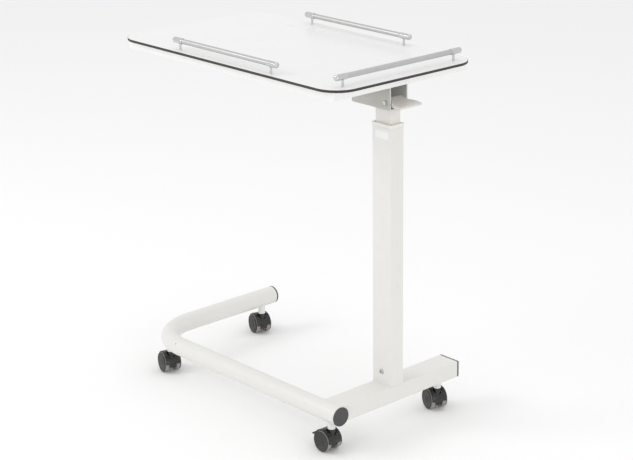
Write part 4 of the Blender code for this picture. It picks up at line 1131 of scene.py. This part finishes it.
disc_outline = [
    (0.0, TREAD_END + 0.0003),
    (rim, TREAD_END + 0.0002),
    (rim, face - 0.0008),
    (rim - 0.0012, face),
    (rim - 0.0024, face),
    (rim - 0.0034, face - 0.0007),
    (0.0078, face - 0.0014),
    (0.0070, face - 0.0005),
    (0.0046, face - 0.0004),
    (0.0040, face - 0.0011),
    (0.0, face - 0.0011),
]
disc_profile = filleted(disc_outline, 0.0006, 4)
for caster in CASTERS:
    for label, side in (("front", -1), ("back", 1)):
        body = f"{caster}_{label}_wheel"
        node = f"{caster}_wheel_{label}"
        at = axle_at + Vector((0, side * WHEEL_INNER, 0))
        way = (0, side, 0)
        tread = swivelled(aimed(lathe(tread_profile, 96, closed=True), at, way), caster)
        piece(f"{caster}_{label}_tread", tread, tread_rubber, body, "wheel_plastic", node)
        core = joined([lathe(disc_profile, 96), lathe(hub_profile, 48, closed=True)])
        disc = swivelled(aimed(core, at, way), caster)
        piece(f"{caster}_{label}_disc", disc, disc_nylon, body, "wheel_plastic", node)

# ---- casters: brake tabs -------------------------------------------------------------------------
# A black nylon lever on two of the casters, hinged between the wheels behind the web. Its wide end has four
# moulded ridges for a shoe to grip.
TAB_SECTIONS = (
    (0.0030, 0.0066, 0.0000, 0.0045),
    (-0.0020, 0.0066, 0.0000, 0.0050),
    (-0.0115, 0.0066, -0.0018, 0.0030),
    (-0.0130, 0.0120, -0.0021, 0.0030),
    (-0.0235, 0.0120, -0.0038, 0.0030),
    (-0.0250, 0.0108, -0.0040, 0.0015),
)
RIDGE_HEIGHT = 0.0005
RIDGE_PITCH = 0.0026

hinge_at = axle_at + TAB_HINGE
for caster in CASTERS:
    if f"{caster}_brake_hinge" not in joints:
        continue
    tab_rings = []
    for x, half, middle, thick in TAB_SECTIONS:
        ring = rectangle(2 * half, thick, min(0.0009, 0.45 * thick), 0, 4)
        tab_rings.append([hinge_at + Vector((x, p.x, p.y + middle)) for p in ring])
    tab = [loft(tab_rings)]
    for i in range(4):
        x = -0.0145 - RIDGE_PITCH * i
        ridge = rectangle(0.0010, 0.0200, 0.00045, 0, 4)
        top = -0.0021 + (x + 0.0130) * 0.16 + 0.0015
        low = [hinge_at + Vector((x + p.x, p.y, top - 0.0006)) for p in ridge]
        high = [hinge_at + Vector((x + p.x * 0.6, p.y * 0.97, top + RIDGE_HEIGHT)) for p in ridge]
        tab.append(loft([low, high]))
    mesh, node = swivelled(joined(tab), caster), f"{caster}_brake_pedal"
    piece(f"{caster}_brake_tab", mesh, hood_nylon, f"{caster}_pedal", "caster_nylon", node)

# ---- room ----------------------------------------------------------------------------------------
# A pale floor without an edge, a bright even room, and large soft lamps from the front left, above and
# the right.
FLOOR_SIZE = 30.0
FLOOR_DROP = 0.0004
ROOM_BRIGHTNESS = 0.88

floor_mesh = bmesh.new()
bmesh.ops.create_grid(floor_mesh, x_segments=1, y_segments=1, size=FLOOR_SIZE)
floor = added("floor", shaded(floor_mesh))
floor.location.z = -FLOOR_DROP
pale = Finish("pale_floor")
floor.data.materials.append(pale.wear(base_color=(0.96, 0.96, 0.96), roughness=0.9))

world = bpy.data.worlds.new("room")
world.use_nodes = True
daylight = world.node_tree.nodes["Background"].inputs
daylight["Color"].default_value = (1.0, 1.0, 1.0, 1.0)
daylight["Strength"].default_value = ROOM_BRIGHTNESS
bpy.context.scene.world = world
table_middle = Vector((0, 0, 0.45))
for name, at, size, power in (
    ("key_softbox", Vector((-2.2, -3.0, 3.0)), 2.0, 34),
    ("top_softbox", Vector((0.2, 0.2, 3.6)), 2.4, 10),
    ("side_softbox", Vector((3.6, -1.2, 1.4)), 2.0, 12),
):
    lamp = bpy.data.lights.new(name, "AREA")
    lamp.shape = "DISK"
    lamp.size = size
    lamp.energy = power
    holder = added(name, lamp)
    holder.location = at
    holder.rotation_euler = (table_middle - at).to_track_quat("-Z", "Y").to_euler()

# ---- camera --------------------------------------------------------------------------------------
# A long lens above and to the right of the user's side, just over four metres from the table. It is
# shifted sideways, so that the column's edges stay as they stand.
CAMERA_AT = Vector((3.06596, -2.68268, 1.77816))
CAMERA_YAW = math.radians(45.69)
CAMERA_PITCH = math.radians(18.54)

camera_data = bpy.data.cameras.new("camera")
camera_data.lens = 103.0
camera_data.sensor_width = 36.0
camera_data.shift_x = -0.1138
camera_data.shift_y = -0.0052
camera = added("camera", camera_data)
camera.location = CAMERA_AT
camera.rotation_euler = (math.pi / 2 - CAMERA_PITCH, 0.0, CAMERA_YAW)
bpy.context.scene.camera = camera
bpy.context.scene.view_settings.view_transform = "Standard"

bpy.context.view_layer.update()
